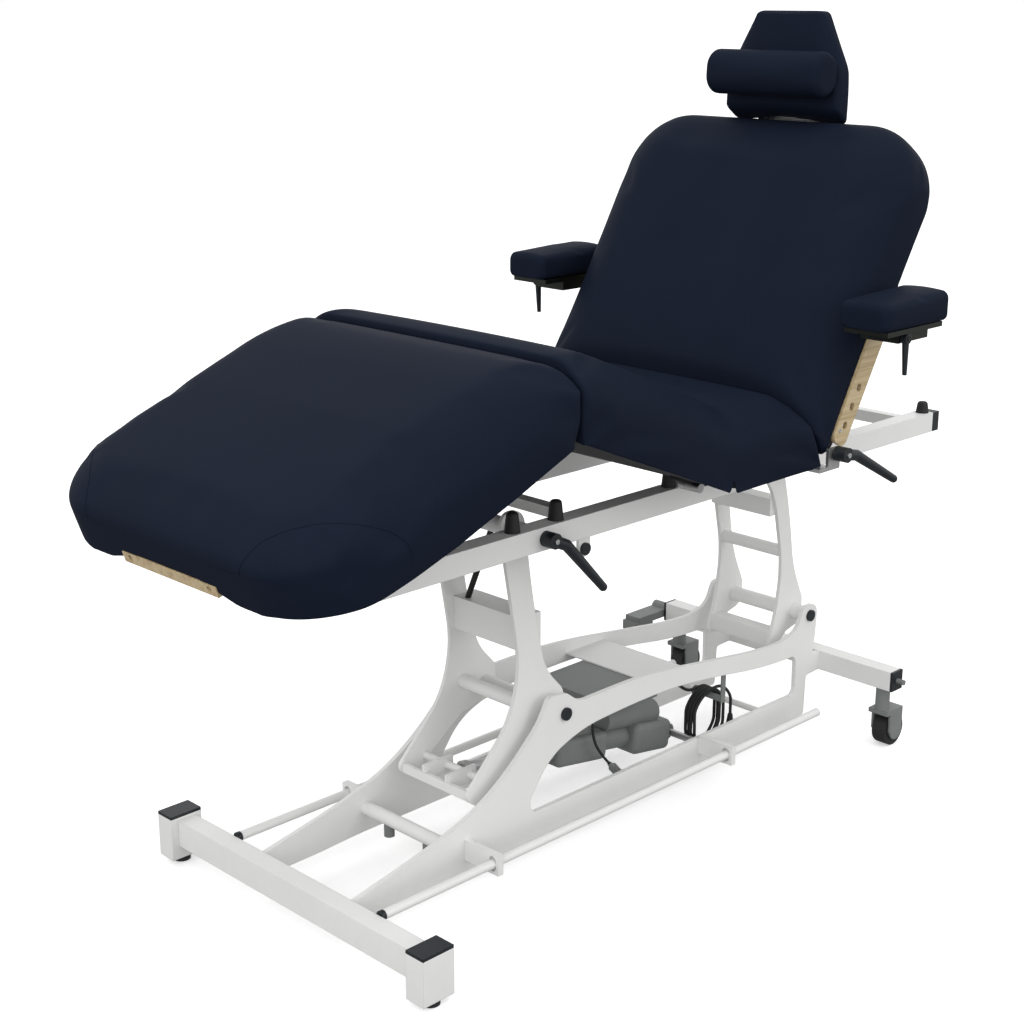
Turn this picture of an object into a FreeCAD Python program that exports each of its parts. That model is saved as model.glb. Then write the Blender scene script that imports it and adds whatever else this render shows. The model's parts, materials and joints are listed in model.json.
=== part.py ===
import FreeCAD, Part
import math
import os
import re
from FreeCAD import Placement, Rotation, Vector

os.makedirs("parts", exist_ok=True)
doc = FreeCAD.newDocument("MassageTable")

# Driving sizes in millimetres and degrees. +X is the head end, -Y the near side, the floor is at zero.
SIZES = {
    # front beam on its two posts
    "front_face_x": -785.0,
    "base_width": 775.0,
    "post_depth": 70.0,
    "post_width": 44.0,
    "post_bottom_z": 13.0,
    "post_top_z": 100.0,
    "end_cap_thick": 6.0,
    "beam_setback": 16.0,
    "beam_depth": 40.0,
    "beam_bottom_z": 40.0,
    "beam_height": 55.0,
    "tube_wall": 3.0,
    "glide_radius": 17.0,
    "glide_height": 9.0,
    "glide_stud_radius": 5.0,
    # side plates and the pivots that they carry
    "plate_inner_y": 125.0,
    "plate_thick": 10.0,
    "lift_pivot_x": -180.0,
    "rear_pivot_x": 623.0,
    "lift_pivot_z": 288.0,
    "pivot_radius": 10.0,
    "pivot_tube_radius": 17.0,
    "pivot_cap_radius": 13.0,
    "running_gap": 0.05,
    "side_gap": 0.5,
    # rear beam, casters and lock pedal
    "rear_beam_x": 669.0,
    "rear_beam_depth": 40.0,
    "rear_beam_height": 45.0,
    "rear_beam_bottom_z": 144.0,
    "rear_beam_width": 654.0,
    "caster_y": 298.0,
    "caster_trail": 24.0,
    "wheel_radius": 37.0,
    "wheel_width": 36.0,
    "axle_radius": 5.0,
    "stem_radius": 8.0,
    "fork_thick": 5.0,
    "pedal_rod_radius": 6.0,
    "pedal_reach": 112.0,
    "pedal_width": 46.0,
    # foot bars
    "bar_y": 210.0,
    "bar_z": 92.0,
    "bar_radius": 9.0,
    "bar_foot_x": -722.0,
    "bar_head_x": 563.0,
    "bar_travel": 6.0,
    "bracket_foot_x": -446.0,
    "bracket_head_x": 243.0,
    "bracket_length": 14.0,
    # cross members and motor group
    "cross_tube_x": -475.0,
    "cross_tube_z": 98.0,
    "cross_tube_radius": 14.0,
    "rear_rod_x": 505.0,
    "rear_rod_z": 76.0,
    "rear_rod_radius": 7.0,
    "cover_x": 95.0,
    "cover_length": 120.0,
    "cover_z": 266.0,
    "box_x": -48.0,
    "box_length": 220.0,
    "box_width": 150.0,
    "box_bottom_z": 206.0,
    "anchor_x": 265.0,
    "anchor_z": 80.0,
    "anchor_radius": 8.0,
    "actuator_tube_radius": 24.0,
    "actuator_rod_radius": 11.0,
    "actuator_tube_end": 420.0,
    "case_corner": 14.0,
    "gear_length": 120.0,
    "gear_width": 90.0,
    "gear_height": 68.0,
    "motor_radius": 27.0,
    "motor_offset": 46.0,
    "motor_length": 165.0,
    # lift arms
    "arm_rise": 397.0,
    "arm_lean": 115.0,
    "front_arm_y": 100.0,
    "rear_arm_y": 90.0,
    "arm_plate_thick": 8.0,
    "tail_back": 165.0,
    "tail_drop": 108.0,
    "tail_pin_radius": 8.0,
    "tail_play": 3.0,
    "clevis_half": 33.0,
    "stay_radius": 6.0,
    # rails and what they carry
    "rail_inner_y": 150.0,
    "rail_width": 40.0,
    "rail_height": 45.0,
    "rail_drop": 23.0,
    "rail_foot_x": -700.0,
    "rail_head_x": 994.0,
    "rail_cap_thick": 26.0,
    "cross_bar_x": -236.0,
    "cross_bar_size": 26.0,
    "head_bar_x": 950.0,
    "bearer_width": 30.0,
    "bumper_radius": 15.0,
    "bumper_tip_radius": 11.0,
    "bumper_dome": 6.0,
    "head_bumper_tall": 26.0,
    "stud_radius": 5.0,
    # sections
    "hip_x": 19.0,
    "hinge_z": 738.0,
    "hinge_drop": 8.0,
    "hinge_pin_radius": 5.0,
    "knuckle_radius": 9.0,
    "knuckle_width": 16.0,
    "hinge_y": 270.0,
    "thigh_length": 453.0,
    "thigh_angle": 22.3,
    "leg_length": 604.0,
    "leg_angle": 18.5,
    "seat_length": 298.0,
    "back_length": 690.0,
    "back_angle": 59.6,
    "deck_half": 370.0,
    "deck_thick": 18.0,
    "deck_gap": 12.0,
    "cushion_half": 379.0,
    "cushion_thick": 118.0,
    "back_cushion_thick": 96.0,
    "cushion_crown": 10.0,
    "cushion_draw_in": 7.0,
    "cushion_gap": 3.0,
    "hip_lean": 12.8,
    "back_lean": 37.8,
    "foot_corner": 150.0,
    "head_corner": 140.0,
    "square_corner": 26.0,
    # wooden strips
    "strip_thick": 10.0,
    "back_strip_start": 50.0,
    "back_strip_end": 350.0,
    "strip_low": -20.0,
    "strip_corner": 16.0,
    "strip_hole_h": 3.0,
    "strip_hole_radius": 8.0,
    "strip_hole_pitch": 41.0,
    "strip_hole_start": 90.0,
    "foot_strip_half": 133.0,
    "foot_strip_hole_y": 112.0,
    "foot_strip_hole_radius": 6.0,
    # knee linkage
    "link_station": 250.0,
    "link_drop": 12.0,
    "link_reach": 100.0,
    "link_half": 12.5,
    "link_y": 165.0,
    "link_thick": 14.0,
    "link_pin_radius": 5.0,
    "link_far_pin_radius": 3.0,
    "link_far_hole_radius": 9.3,
    "lug_x": -191.0,
    "lug_z": 642.0,
    "lug_half": 16.0,
    "lug_stud_radius": 12.0,
    # levers
    "knee_lever_x": -296.0,
    "back_lever_x": 322.0,
    "back_lever_z": 770.0,
    "back_lever_y": 390.0,
    "lever_hub_radius": 15.0,
    "lever_hub_length": 28.0,
    "lever_root": 38.0,
    "lever_length": 122.0,
    # armrests
    "armrest_station": 300.0,
    "armrest_gap": 15.0,
    "armrest_width": 113.0,
    "armrest_length": 216.0,
    "armrest_pad_thick": 64.0,
    "armrest_board_thick": 10.0,
    "armrest_boss_half": 10.0,
    "armrest_pin_depth": 40.0,
    "armrest_lever_length": 68.0,
    "armrest_lever_back": 74.0,
    # headrest
    "post_spread": 120.0,
    "headrest_post_radius": 6.0,
    "headrest_post_depth": 120.0,
    "headrest_station": 733.0,
    "headrest_hinge_h": 17.0,
    "headrest_angle": 27.0,
    "headrest_length": 226.0,
    "headrest_low_half": 158.0,
    "headrest_high_half": 84.0,
    "headrest_pad_thick": 62.0,
    "headrest_board_thick": 12.0,
    "roll_radius": 47.0,
    "roll_length": 276.0,
    # cords
    "cord_diameter": 7.0,
    "gland_length": 22.0,
    "hank_radius": 52.0,
    "hank_straight": 22.0,
    "hank_pitch": 8.2,
    "hank_turns": 4.0,
    "hank_x": 330.0,
    "hank_y": -60.0,
    "peg_z": 165.0,
    "peg_radius": 7.0,
    "strap_height": 85.0,
    "lead_diameter": 6.0,
    "lead_gland_length": 12.0,
}

sheet = doc.addObject("Spreadsheet::Sheet", "Dims")
for row, (alias, value) in enumerate(SIZES.items(), start=1):
    sheet.set("A%d" % row, alias)
    sheet.set("B%d" % row, repr(value))
    sheet.setAlias("B%d" % row, alias)
doc.recompute()


class SheetReader:
    def __getattr__(self, alias):
        return float(sheet.get(alias))


dim = SheetReader()
alias_pattern = re.compile(r"[a-z][a-z0-9_]*_[a-z0-9_]+")
nodes = {}


def formula(text):
    return alias_pattern.sub(lambda found: "Dims." + found.group(0), text)


def bind(item, prop, text):
    item.setExpression(prop, formula(text))


def add(kind, name):
    return doc.addObject(kind, name)


def box(name, x_span, y_span, z_span):
    item = add("Part::Box", name)
    names = (("Length", "x", x_span), ("Width", "y", y_span), ("Height", "z", z_span))
    for prop, axis, (low, high) in names:
        bind(item, "Placement.Base." + axis, low)
        bind(item, prop, "(%s) - (%s)" % (high, low))
    return item


def rod(name, axis, radius, span, centre):
    item = add("Part::Cylinder", name)
    turn = {"x": Rotation(Vector(0, 1, 0), 90), "y": Rotation(Vector(1, 0, 0), -90), "z": Rotation()}[axis]
    item.Placement = Placement(Vector(), turn)
    across = [letter for letter in "xyz" if letter != axis]
    bind(item, "Radius", radius)
    bind(item, "Height", "(%s) - (%s)" % (span[1], span[0]))
    bind(item, "Placement.Base." + axis, span[0])
    for letter, text in zip(across, centre):
        bind(item, "Placement.Base." + letter, text)
    return item


def rounded(base, radius):
    doc.recompute()
    item = add("Part::Fillet", base.Name + "Round")
    item.Base = base
    item.Edges = [(index + 1, radius, radius) for index in range(len(base.Shape.Edges))]
    return item


def cut(name, base, *tools):
    item = base
    for count, tool in enumerate(tools):
        following = add("Part::Cut", "%s%d" % (name, count))
        following.Base = item
        following.Tool = tool
        item = following
    return item


def fuse(name, *pieces):
    item = add("Part::MultiFuse", name)
    item.Shapes = list(pieces)
    return item


def pipe_piece(name, axis, radius, bore, span, centre):
    outer = rod(name + "Outer", axis, radius, span, centre)
    inner = rod(name + "Bore", axis, bore, ("%s - 1" % span[0], "%s + 1" % span[1]), centre)
    return cut(name, outer, inner)


def solid_feature(name, shape):
    item = add("Part::Feature", name)
    item.Shape = shape
    return item


def node(label, *pieces, place=None):
    if len(pieces) == 1:
        item = pieces[0]
    else:
        item = add("Part::Compound", "Group_" + label)
        item.Links = list(pieces)
    if place is not None:
        item.Placement = place
    item.Label = label
    nodes[label] = item
    return item


def both_sides(inner, outer):
    near = ("-(%s)" % outer, "-(%s)" % inner)
    return (("Near", near), ("Far", (inner, outer)))


def origin_plane(body, role):
    return next(item for item in body.Origin.OriginFeatures if item.Role == role)


def soft_outline(points):
    # Straight runs joined by tangent arcs, each arc as wide as its corner or the runs allow.
    total = len(points)
    flat = [Vector(point[0], point[1], 0) for point in points]
    marks = []
    for index, point in enumerate(points):
        before = flat[index - 1]
        here = flat[index]
        after = flat[(index + 1) % total]
        back = (before - here)
        ahead = (after - here)
        shorter = min(back.Length, ahead.Length)
        half = back.getAngle(ahead) / 2
        reach = 0.48 * shorter
        if len(point) > 2:
            reach = min(reach, point[2] / math.tan(half))
        radius = reach * math.tan(half)
        start = here + back.normalize() * reach
        end = here + ahead.normalize() * reach
        middle_way = (start + end) * 0.5 - here
        apex = here + middle_way.normalize() * (radius / math.sin(half) - radius)
        marks.append((start, apex, end))
    edges = []
    for index, (start, apex, end) in enumerate(marks):
        edges.append(Part.Arc(start, apex, end))
        following = marks[(index + 1) % total][0]
        if (following - end).Length > 1e-4:
            edges.append(Part.LineSegment(end, following))
    return edges


def plate_body(name, loops, circles, y_start, thick):
    # A plate in the XZ plane, from y_start towards -Y by its thickness.
    body = add("PartDesign::Body", name)
    sketch = body.newObject("Sketcher::SketchObject", name + "Outline")
    sketch.AttachmentSupport = [(origin_plane(body, "XZ_Plane"), "")]
    sketch.MapMode = "FlatFace"
    for loop in loops:
        sketch.addGeometry(soft_outline(loop), False)
    for (x, z, radius) in circles:
        sketch.addGeometry(Part.Circle(Vector(x, z, 0), Vector(0, 0, 1), radius), False)
    bind(sketch, "AttachmentOffset.Base.z", "-(%s)" % y_start)
    pad = body.newObject("PartDesign::Pad", name + "Pad")
    pad.Profile = sketch
    bind(pad, "Length", thick)
    body.Tip = pad
    return body


def knot_map(value, reference, actual):
    # Carries a reference station to the built one, straight between knots.
    for low, high, built_low, built_high in zip(reference, reference[1:], actual, actual[1:]):
        if value <= high:
            break
    return built_low + (value - low) * (built_high - built_low) / (high - low)


def placed(x, z, angle):
    return Placement(Vector(x, 0, z), Rotation(Vector(0, 1, 0), angle))


# Base: posts, front beam, caps and glides.
half_base = "base_width / 2"
beam_x = ("front_face_x + beam_setback", "front_face_x + beam_setback + beam_depth")
beam_y = ("-(base_width / 2 - post_width)", "base_width / 2 - post_width")
beam_z = ("beam_bottom_z", "beam_bottom_z + beam_height")
beam_outer = box("BeamOuter", beam_x, beam_y, beam_z)
beam_inner = box("BeamInner", (beam_x[0] + " + tube_wall", beam_x[1] + " - tube_wall"), beam_y,
                 (beam_z[0] + " + tube_wall", beam_z[1] + " - tube_wall"))
beam_pieces = [cut("Beam", beam_outer, beam_inner)]
cap_pieces = []
glide_pieces = []
post_x = ("front_face_x", "front_face_x + post_depth")
post_mid = "front_face_x + post_depth / 2"
for side, span in both_sides("base_width / 2 - post_width", half_base):
    post = box("Post" + side, post_x, span, ("post_bottom_z", "post_top_z"))
    middle = "(%s) / 2 + (%s) / 2" % span
    hollow_y = ("(%s) + tube_wall" % span[0], "(%s) - tube_wall" % span[1])
    hollow_x = ("front_face_x + tube_wall", "front_face_x + post_depth - tube_wall")
    hollow = box("PostHollow" + side, hollow_x, hollow_y, ("post_bottom_z + tube_wall", "post_top_z"))
    stud_hole = rod("StudHole" + side, "z", "glide_stud_radius", ("0", "post_top_z"), (post_mid, middle))
    beam_pieces.append(cut("PostTube" + side, post, hollow, stud_hole))
    lid = box("PostCap" + side, post_x, span, ("post_top_z", "post_top_z + end_cap_thick"))
    skirt = box("PostCapSkirt" + side, hollow_x, hollow_y, ("post_top_z - end_cap_thick", "post_top_z"))
    cap_pieces.append(fuse("PostPlug" + side, lid, skirt))
    pad = rod("Glide" + side, "z", "glide_radius", ("0", "glide_height"), (post_mid, middle))
    stud = rod("GlideStud" + side, "z", "glide_stud_radius",
               ("glide_height", "post_bottom_z + tube_wall * 2"), (post_mid, middle))
    collar = rod("GlideCollar" + side, "z", "glide_stud_radius * 1.8",
                 ("glide_height", "post_bottom_z"), (post_mid, middle))
    glide_pieces.append(fuse("GlideFoot" + side, pad, stud, collar))
node("front_beam", *beam_pieces)
node("levelling_feet", *glide_pieces)

# Side plates: bottom band, arch with a window, ears at both pivots, tab to the rear beam.
beam_back = dim.front_face_x + dim.beam_setback + dim.beam_depth
x_knots = (-729.0, -180.0, 623.0, 669.0)
x_built = (beam_back, dim.lift_pivot_x, dim.rear_pivot_x, dim.rear_beam_x)
z_knots = (0.0, 144.0, 288.0, 400.0)
z_built = (0.0, dim.rear_beam_bottom_z, dim.lift_pivot_z, dim.lift_pivot_z + 112.0)


def plate_point(x, z, *radius):
    return (knot_map(x, x_knots, x_built), knot_map(z, z_knots, z_built)) + radius


plate_edge = [plate_point(*point) for point in (
    (-729, 42, 8), (-729, 88, 6), (-555, 122), (-428, 158), (-338, 211), (-251, 288), (-226, 336, 16),
    (-176, 330, 26), (-140, 302, 60), (22, 303), (125, 294), (280, 273), (420, 254), (515, 248),
    (580, 262, 50), (600, 313, 22), (652, 313, 24), (648, 240, 40), (641, 193, 6), (669, 188, 2),
    (669, 145, 2), (620, 143, 8), (616, 48, 8), (-500, 48), (-600, 42))]
plate_window = [plate_point(*point) for point in (
    (-272, 105, 18), (-279, 135, 26), (-223, 209), (-126, 243), (23, 250), (149, 249), (282, 234),
    (412, 213), (496, 205), (577, 203, 18), (579, 108, 18))]
plate_holes = [(x, dim.lift_pivot_z, dim.pivot_radius + dim.running_gap / 2)
               for x in (dim.lift_pivot_x, dim.rear_pivot_x)]
plate_loops = (plate_edge, plate_window)
for side, plate_start in (("near", "-plate_inner_y"), ("far", "plate_inner_y + plate_thick")):
    plate = plate_body("Plate_" + side, plate_loops, plate_holes, plate_start, "plate_thick")
    node("side_plate_" + side, plate)

# Rear beam with sockets for the caster stems, end plugs with a hole for the pedal rod.
half_rear = "rear_beam_width / 2"
rear_x = ("rear_beam_x", "rear_beam_x + rear_beam_depth")
rear_mid = "rear_beam_x + rear_beam_depth / 2"
rear_top = "rear_beam_bottom_z + rear_beam_height"
rod_z = "rear_beam_bottom_z + rear_beam_height / 2"
rear_outer = box("RearOuter", rear_x, ("-(%s)" % half_rear, half_rear), ("rear_beam_bottom_z", rear_top))
rear_inner = box("RearInner", (rear_x[0] + " + tube_wall", rear_x[1] + " - tube_wall"),
                 ("-(%s)" % half_rear, half_rear),
                 ("rear_beam_bottom_z + tube_wall", rear_top + " - tube_wall"))
sockets = []
for side, sign in (("Near", "-1"), ("Far", "1")):
    sockets.append(rod("StemSocket" + side, "z", "stem_radius + running_gap",
                       ("rear_beam_bottom_z - 1", "rear_beam_bottom_z + tube_wall + 1"),
                       (rear_mid, sign + " * caster_y")))
node("rear_beam", cut("RearBeam", rear_outer, rear_inner, *sockets))
for side, span in both_sides(half_rear, half_rear + " + end_cap_thick"):
    lid = box("RearPlug" + side, rear_x, span, ("rear_beam_bottom_z", rear_top))
    hole = rod("RearPlugHole" + side, "y", "pedal_rod_radius + running_gap",
               ("(%s) - 1" % span[0], "(%s) + 1" % span[1]), (rear_mid, rod_z))
    cap_pieces.append(cut("RearPlugRing" + side, lid, hole))
for side, span in both_sides("plate_inner_y + plate_thick", "plate_inner_y + plate_thick + end_cap_thick"):
    for place, station in (("Front", "lift_pivot_x"), ("Back", "rear_pivot_x")):
        cap_pieces.append(rod("PivotCap%s%s" % (place, side), "y", "pivot_cap_radius", span,
                              (station, "lift_pivot_z")))
node("base_end_caps", *cap_pieces)

# Cross members between the plates and the shafts of the lift.
inner_span = ("-plate_inner_y", "plate_inner_y")
outer_span = ("-(plate_inner_y + plate_thick)", "plate_inner_y + plate_thick")
cross_tube = pipe_piece("CrossTube", "y", "cross_tube_radius", "cross_tube_radius - tube_wall", inner_span,
                        ("cross_tube_x", "cross_tube_z"))
rear_rod = rod("RearRod", "y", "rear_rod_radius", inner_span, ("rear_rod_x", "rear_rod_z"))
cover = box("MotorCover", ("cover_x", "cover_x + cover_length"), inner_span,
            ("cover_z", "cover_z + tube_wall"))
node("base_cross_members", cross_tube, rear_rod, cover)
front_shaft = rod("FrontShaft", "y", "pivot_radius", outer_span, ("lift_pivot_x", "lift_pivot_z"))
back_shaft = rod("BackShaft", "y", "pivot_radius", outer_span, ("rear_pivot_x", "lift_pivot_z"))
anchor_shaft = rod("AnchorShaft", "y", "anchor_radius", inner_span, ("anchor_x", "anchor_z"))
node("base_pivot_shafts", front_shaft, back_shaft, anchor_shaft)

# Small fittings: two knobs under the cross tube, the peg of the cord hank on a strap from the arch.
fittings = []
for place, sign in (("Near", "-1"), ("Far", "1")):
    knob = rod("Knob" + place, "z", "cross_tube_radius * 0.75",
               ("cross_tube_z - cross_tube_radius * 2.6", "cross_tube_z"),
               ("cross_tube_x", sign + " * plate_inner_y * 0.45"))
    fittings.append(cut("KnobFoot" + place, knob, cross_tube.Base))
peg_end = "hank_y + hank_pitch * 1.8"
peg = rod("CordPeg", "y", "peg_radius", ("-plate_inner_y", peg_end), ("hank_x", "peg_z"))
peg_lip = rod("CordPegLip", "y", "peg_radius * 1.6", (peg_end + " - 3", peg_end), ("hank_x", "peg_z"))
peg_strap = box("CordPegStrap", ("hank_x - peg_radius", "hank_x + peg_radius"),
                ("-plate_inner_y", "-plate_inner_y + tube_wall"),
                ("peg_z - peg_radius", "peg_z + strap_height"))
fittings.append(fuse("CordHook", peg, peg_lip, peg_strap))
node("base_fittings", *fittings)

# Control box hung under the cover sheet, with tapered glands for the mains cord and for the short lead.
box_span_x = ("box_x", "box_x + box_length")
case = box("ControlCase", box_span_x, ("-box_width / 2", "box_width / 2"), ("box_bottom_z", "cover_z"))
case_round = add("Part::Fillet", "ControlRound")
case_round.Base = case
doc.recompute()
case_round.Edges = [(index + 1, 8.0, 8.0) for index, edge in enumerate(case.Shape.Edges)
                    if abs(edge.tangentAt(edge.FirstParameter).z) > 0.9]
gland_spots = (
    ("CordGland", Vector(1, 0, 0), "cord_diameter", "gland_length",
     ("box_x + box_length", "-box_width * 0.4", "box_bottom_z + 22")),
    ("LeadGland", Vector(0, 0, -1), "lead_diameter", "lead_gland_length",
     ("box_x + 32", "-box_width / 2 + 18", "box_bottom_z")))
glands = []
for name, way, diameter, length, spot in gland_spots:
    gland = add("Part::Cone", name)
    gland.Placement = Placement(Vector(), Rotation(Vector(0, 0, 1), way))
    bind(gland, "Radius1", diameter + " * 1.2")
    bind(gland, "Radius2", diameter + " * 0.75")
    bind(gland, "Height", length)
    for letter, text in zip("xyz", spot):
        bind(gland, "Placement.Base." + letter, text)
    glands.append(gland)
node("control_box", fuse("ControlBox", case_round, *glands))

# Foot bars in upright slots of four brackets.
bracket_pieces = []
for side, span in both_sides("plate_inner_y + plate_thick", "bar_y + bar_radius + 6"):
    sign = "-1" if side == "Near" else "1"
    for place, station in (("Foot", "bracket_foot_x"), ("Head", "bracket_head_x")):
        ends = (station + " - bracket_length / 2", station + " + bracket_length / 2")
        lug_z = ("bar_z - bar_radius - bar_travel - 6", "bar_z + bar_radius + bar_travel + 5")
        lug = box("BarLug%s%s" % (side, place), ends, span, lug_z)
        wide = (ends[0] + " - 1", ends[1] + " + 1")
        slot_y = both_sides("bar_y - bar_radius - running_gap", "bar_y + bar_radius + running_gap")
        slot_span = dict(slot_y)[side]
        slot = box("BarSlot%s%s" % (side, place), wide, slot_span,
                   ("bar_z - bar_travel", "bar_z + bar_travel"))
        low = rod("BarLow%s%s" % (side, place), "x", "bar_radius + running_gap", wide,
                  (sign + " * bar_y", "bar_z - bar_travel"))
        high = rod("BarHigh%s%s" % (side, place), "x", "bar_radius + running_gap", wide,
                   (sign + " * bar_y", "bar_z + bar_travel"))
        bracket_pieces.append(cut("BarBracket%s%s" % (side, place), lug, slot, low, high))
    node("foot_bar_" + side.lower(), rod("FootBar" + side, "x", "bar_radius", ("bar_foot_x", "bar_head_x"),
                                         (sign + " * bar_y", "bar_z")))
node("foot_bar_brackets", *bracket_pieces)

# Casters: stem, crown, fork cheeks and hood, wheel on its axle.
axle_x = rear_mid + " + caster_trail"
crown_z = "wheel_radius * 2 + 6"
for side, sign in (("near", "-1"), ("far", "1")):
    middle = sign + " * caster_y"
    stem = rod("Stem_" + side, "z", "stem_radius", (crown_z, "rear_beam_bottom_z + tube_wall * 2"),
               (rear_mid, middle))
    collar = rod("StemCollar_" + side, "z", "stem_radius * 2", (crown_z, "rear_beam_bottom_z - side_gap"),
                 (rear_mid, middle))
    crown_x = (rear_mid + " - stem_radius * 2", axle_x + " + wheel_radius * 0.6")
    fork_half = "wheel_width / 2 + fork_thick + 2"
    fork_y = ("%s - (%s)" % (middle, fork_half), "%s + %s" % (middle, fork_half))
    crown = box("Crown_" + side, crown_x, fork_y, (crown_z, crown_z + " + fork_thick * 2"))
    yoke = [stem, collar, crown]
    for cheek, offset in (("Left", "-1"), ("Right", "1")):
        start = "%s + %s * (wheel_width / 2 + fork_thick / 2 + 2) - fork_thick / 2" % (middle, offset)
        cheek_span = (start, start + " + fork_thick")
        cheek_x = (axle_x + " - wheel_radius * 0.7", axle_x + " + wheel_radius * 0.6")
        upper = box("Cheek%s_%s" % (cheek, side), cheek_x, cheek_span, ("wheel_radius", crown_z))
        lower = rod("CheekEye%s_%s" % (cheek, side), "y", "wheel_radius * 0.6", cheek_span,
                    (axle_x, "wheel_radius"))
        yoke += [upper, lower]
    yoke.append(rod("Axle_" + side, "y", "axle_radius", fork_y, (axle_x, "wheel_radius")))
    node("caster_yoke_" + side, fuse("CasterYoke_" + side, *yoke))
    wheel_span = (middle + " - wheel_width / 2", middle + " + wheel_width / 2")
    disc = rod("Disc_" + side, "y", "wheel_radius", wheel_span, (axle_x, "wheel_radius"))
    tread = add("Part::Fillet", "Tread_" + side)
    tread.Base = disc
    tread.Edges = [(1, 6.0, 6.0), (3, 6.0, 6.0)]
    bore = rod("WheelBore_" + side, "y", "axle_radius + running_gap",
               (wheel_span[0] + " - 1", wheel_span[1] + " + 1"), (axle_x, "wheel_radius"))
    node("caster_wheel_" + side, cut("Wheel_" + side, tread, bore))

# Lock pedal: a rod through the rear beam with a tread plate at the far end and a stub at the near end.
plug_y = "rear_beam_width / 2 + end_cap_thick"
stub_y = "-(%s + 18)" % plug_y
pedal_y = (plug_y + " + side_gap", plug_y + " + pedal_width")
pedal_rod = rod("PedalRod", "y", "pedal_rod_radius", (stub_y, pedal_y[1]), (rear_mid, rod_z))
pedal_hub = rod("PedalHub", "y", "pedal_rod_radius * 2.4", pedal_y, (rear_mid, rod_z))
pedal_arm = box("PedalArm", (rear_mid + " - pedal_reach", rear_mid), pedal_y,
                (rod_z + " - pedal_rod_radius * 2.4", rod_z + " + pedal_rod_radius * 0.6"))
tread_x = (rear_mid + " - pedal_reach - 10", rear_mid + " - pedal_reach * 0.55")
pedal_tread = box("PedalTread", tread_x, pedal_y,
                  (rod_z + " - pedal_rod_radius * 5", rod_z + " - pedal_rod_radius * 1.2"))
node("lock_pedal", fuse("LockPedal", pedal_rod, pedal_hub, pedal_arm, pedal_tread))

# Lift arms: bent plates, pivot tubes and rungs. Points are offsets from the lower pivot.
reference_rise = 397.0
reference_lean = 115.0


def arm_point(pivot_x, x, z, *radius):
    share = max(z, 0.0) / reference_rise
    built_x = pivot_x + x - share * (dim.arm_lean - reference_lean)
    return (built_x, dim.lift_pivot_z + min(z, 0.0) + share * dim.arm_rise) + radius


def arm_plates(name, pivot_x, outline, outer_y):
    loop = [arm_point(pivot_x, *point) for point in outline]
    hole = dim.pivot_tube_radius + dim.running_gap / 2
    circles = [(pivot_x, dim.lift_pivot_z, hole),
               (pivot_x - dim.arm_lean, dim.lift_pivot_z + dim.arm_rise, hole)]
    inner_face = "-(%s - arm_plate_thick)" % outer_y
    near = plate_body(name + "Near", (loop,), circles, inner_face, "arm_plate_thick")
    far = plate_body(name + "Far", (loop,), circles, outer_y, "arm_plate_thick")
    return near, far


front_outline = (
    (-148, 429, 32), (-83, 429, 32), (-56, 240), (-22, 90), (30, 34, 30), (30, -32, 30), (-60, -44, 70),
    (-203, -144, 16), (-240, -116, 16), (-118, 6), (-90, 110), (-110, 225))
rear_outline = (
    (-146, 428, 30), (-84, 428, 30), (-34, 250), (-10, 110), (30, 26, 28), (28, -30, 28), (-32, -44, 40),
    (-62, -80, 12), (-96, -74, 12), (-66, 8), (-50, 120), (-88, 290), (-147, 366, 40))
top_z = "lift_pivot_z + arm_rise"
node("front_arm_plates", *arm_plates("FrontArm", dim.lift_pivot_x, front_outline, "front_arm_y"))
node("rear_arm_plates", *arm_plates("RearArm", dim.rear_pivot_x, rear_outline, "rear_arm_y"))


def arm_tubes(name, pivot):
    low_span = ("-(plate_inner_y - side_gap)", "plate_inner_y - side_gap")
    high_span = ("-(rail_inner_y - side_gap)", "rail_inner_y - side_gap")
    low = pipe_piece(name + "Low", "y", "pivot_tube_radius", "pivot_radius + running_gap", low_span,
                     (pivot, "lift_pivot_z"))
    high = pipe_piece(name + "High", "y", "pivot_tube_radius", "pivot_radius + running_gap", high_span,
                      (pivot + " - arm_lean", top_z))
    return [low, high]


def lean_at(pivot, rise):
    return "%s - arm_lean * (%s) / arm_rise" % (pivot, rise)


front_inner = ("-(front_arm_y - arm_plate_thick)", "front_arm_y - arm_plate_thick")
rear_inner_y = ("-(rear_arm_y - arm_plate_thick)", "rear_arm_y - arm_plate_thick")
rung_x = lean_at("lift_pivot_x", "arm_rise * 0.44")
front_members = arm_tubes("FrontTube", "lift_pivot_x")
box_rung = box("FrontBoxRung", (rung_x + " - 34", rung_x + " + 24"), front_inner,
               ("lift_pivot_z + arm_rise * 0.44 - 34", "lift_pivot_z + arm_rise * 0.44 + 34"))
front_members.append(box_rung)
front_members.append(rod("FrontRoundRung", "y", "cross_tube_radius", front_inner,
                         ("lift_pivot_x - 62", "lift_pivot_z + 22")))
tail_x = "lift_pivot_x - tail_back"
tail_z = "lift_pivot_z - tail_drop"
tail_face = box("TailFace", (tail_x + " - 62", tail_x + " - 54"), front_inner,
                (tail_z + " - 18", tail_z + " + 2"))
tail_web_parts = [tail_face]
for place, sign in (("Near", "-1"), ("Far", "1")):
    web_middle = sign + " * clevis_half"
    tail_web_parts.append(box("TailWeb" + place, (tail_x + " - 60", tail_x + " + 16"),
                              (web_middle + " - 4", web_middle + " + 4"),
                              (tail_z + " - 16", tail_z + " + 16")))
tail_web_parts.append(rod("TailPin", "y", "tail_pin_radius", front_inner, (tail_x, tail_z)))
front_members.append(fuse("TailClevis", *tail_web_parts))
node("front_arm_members", *front_members)

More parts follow.
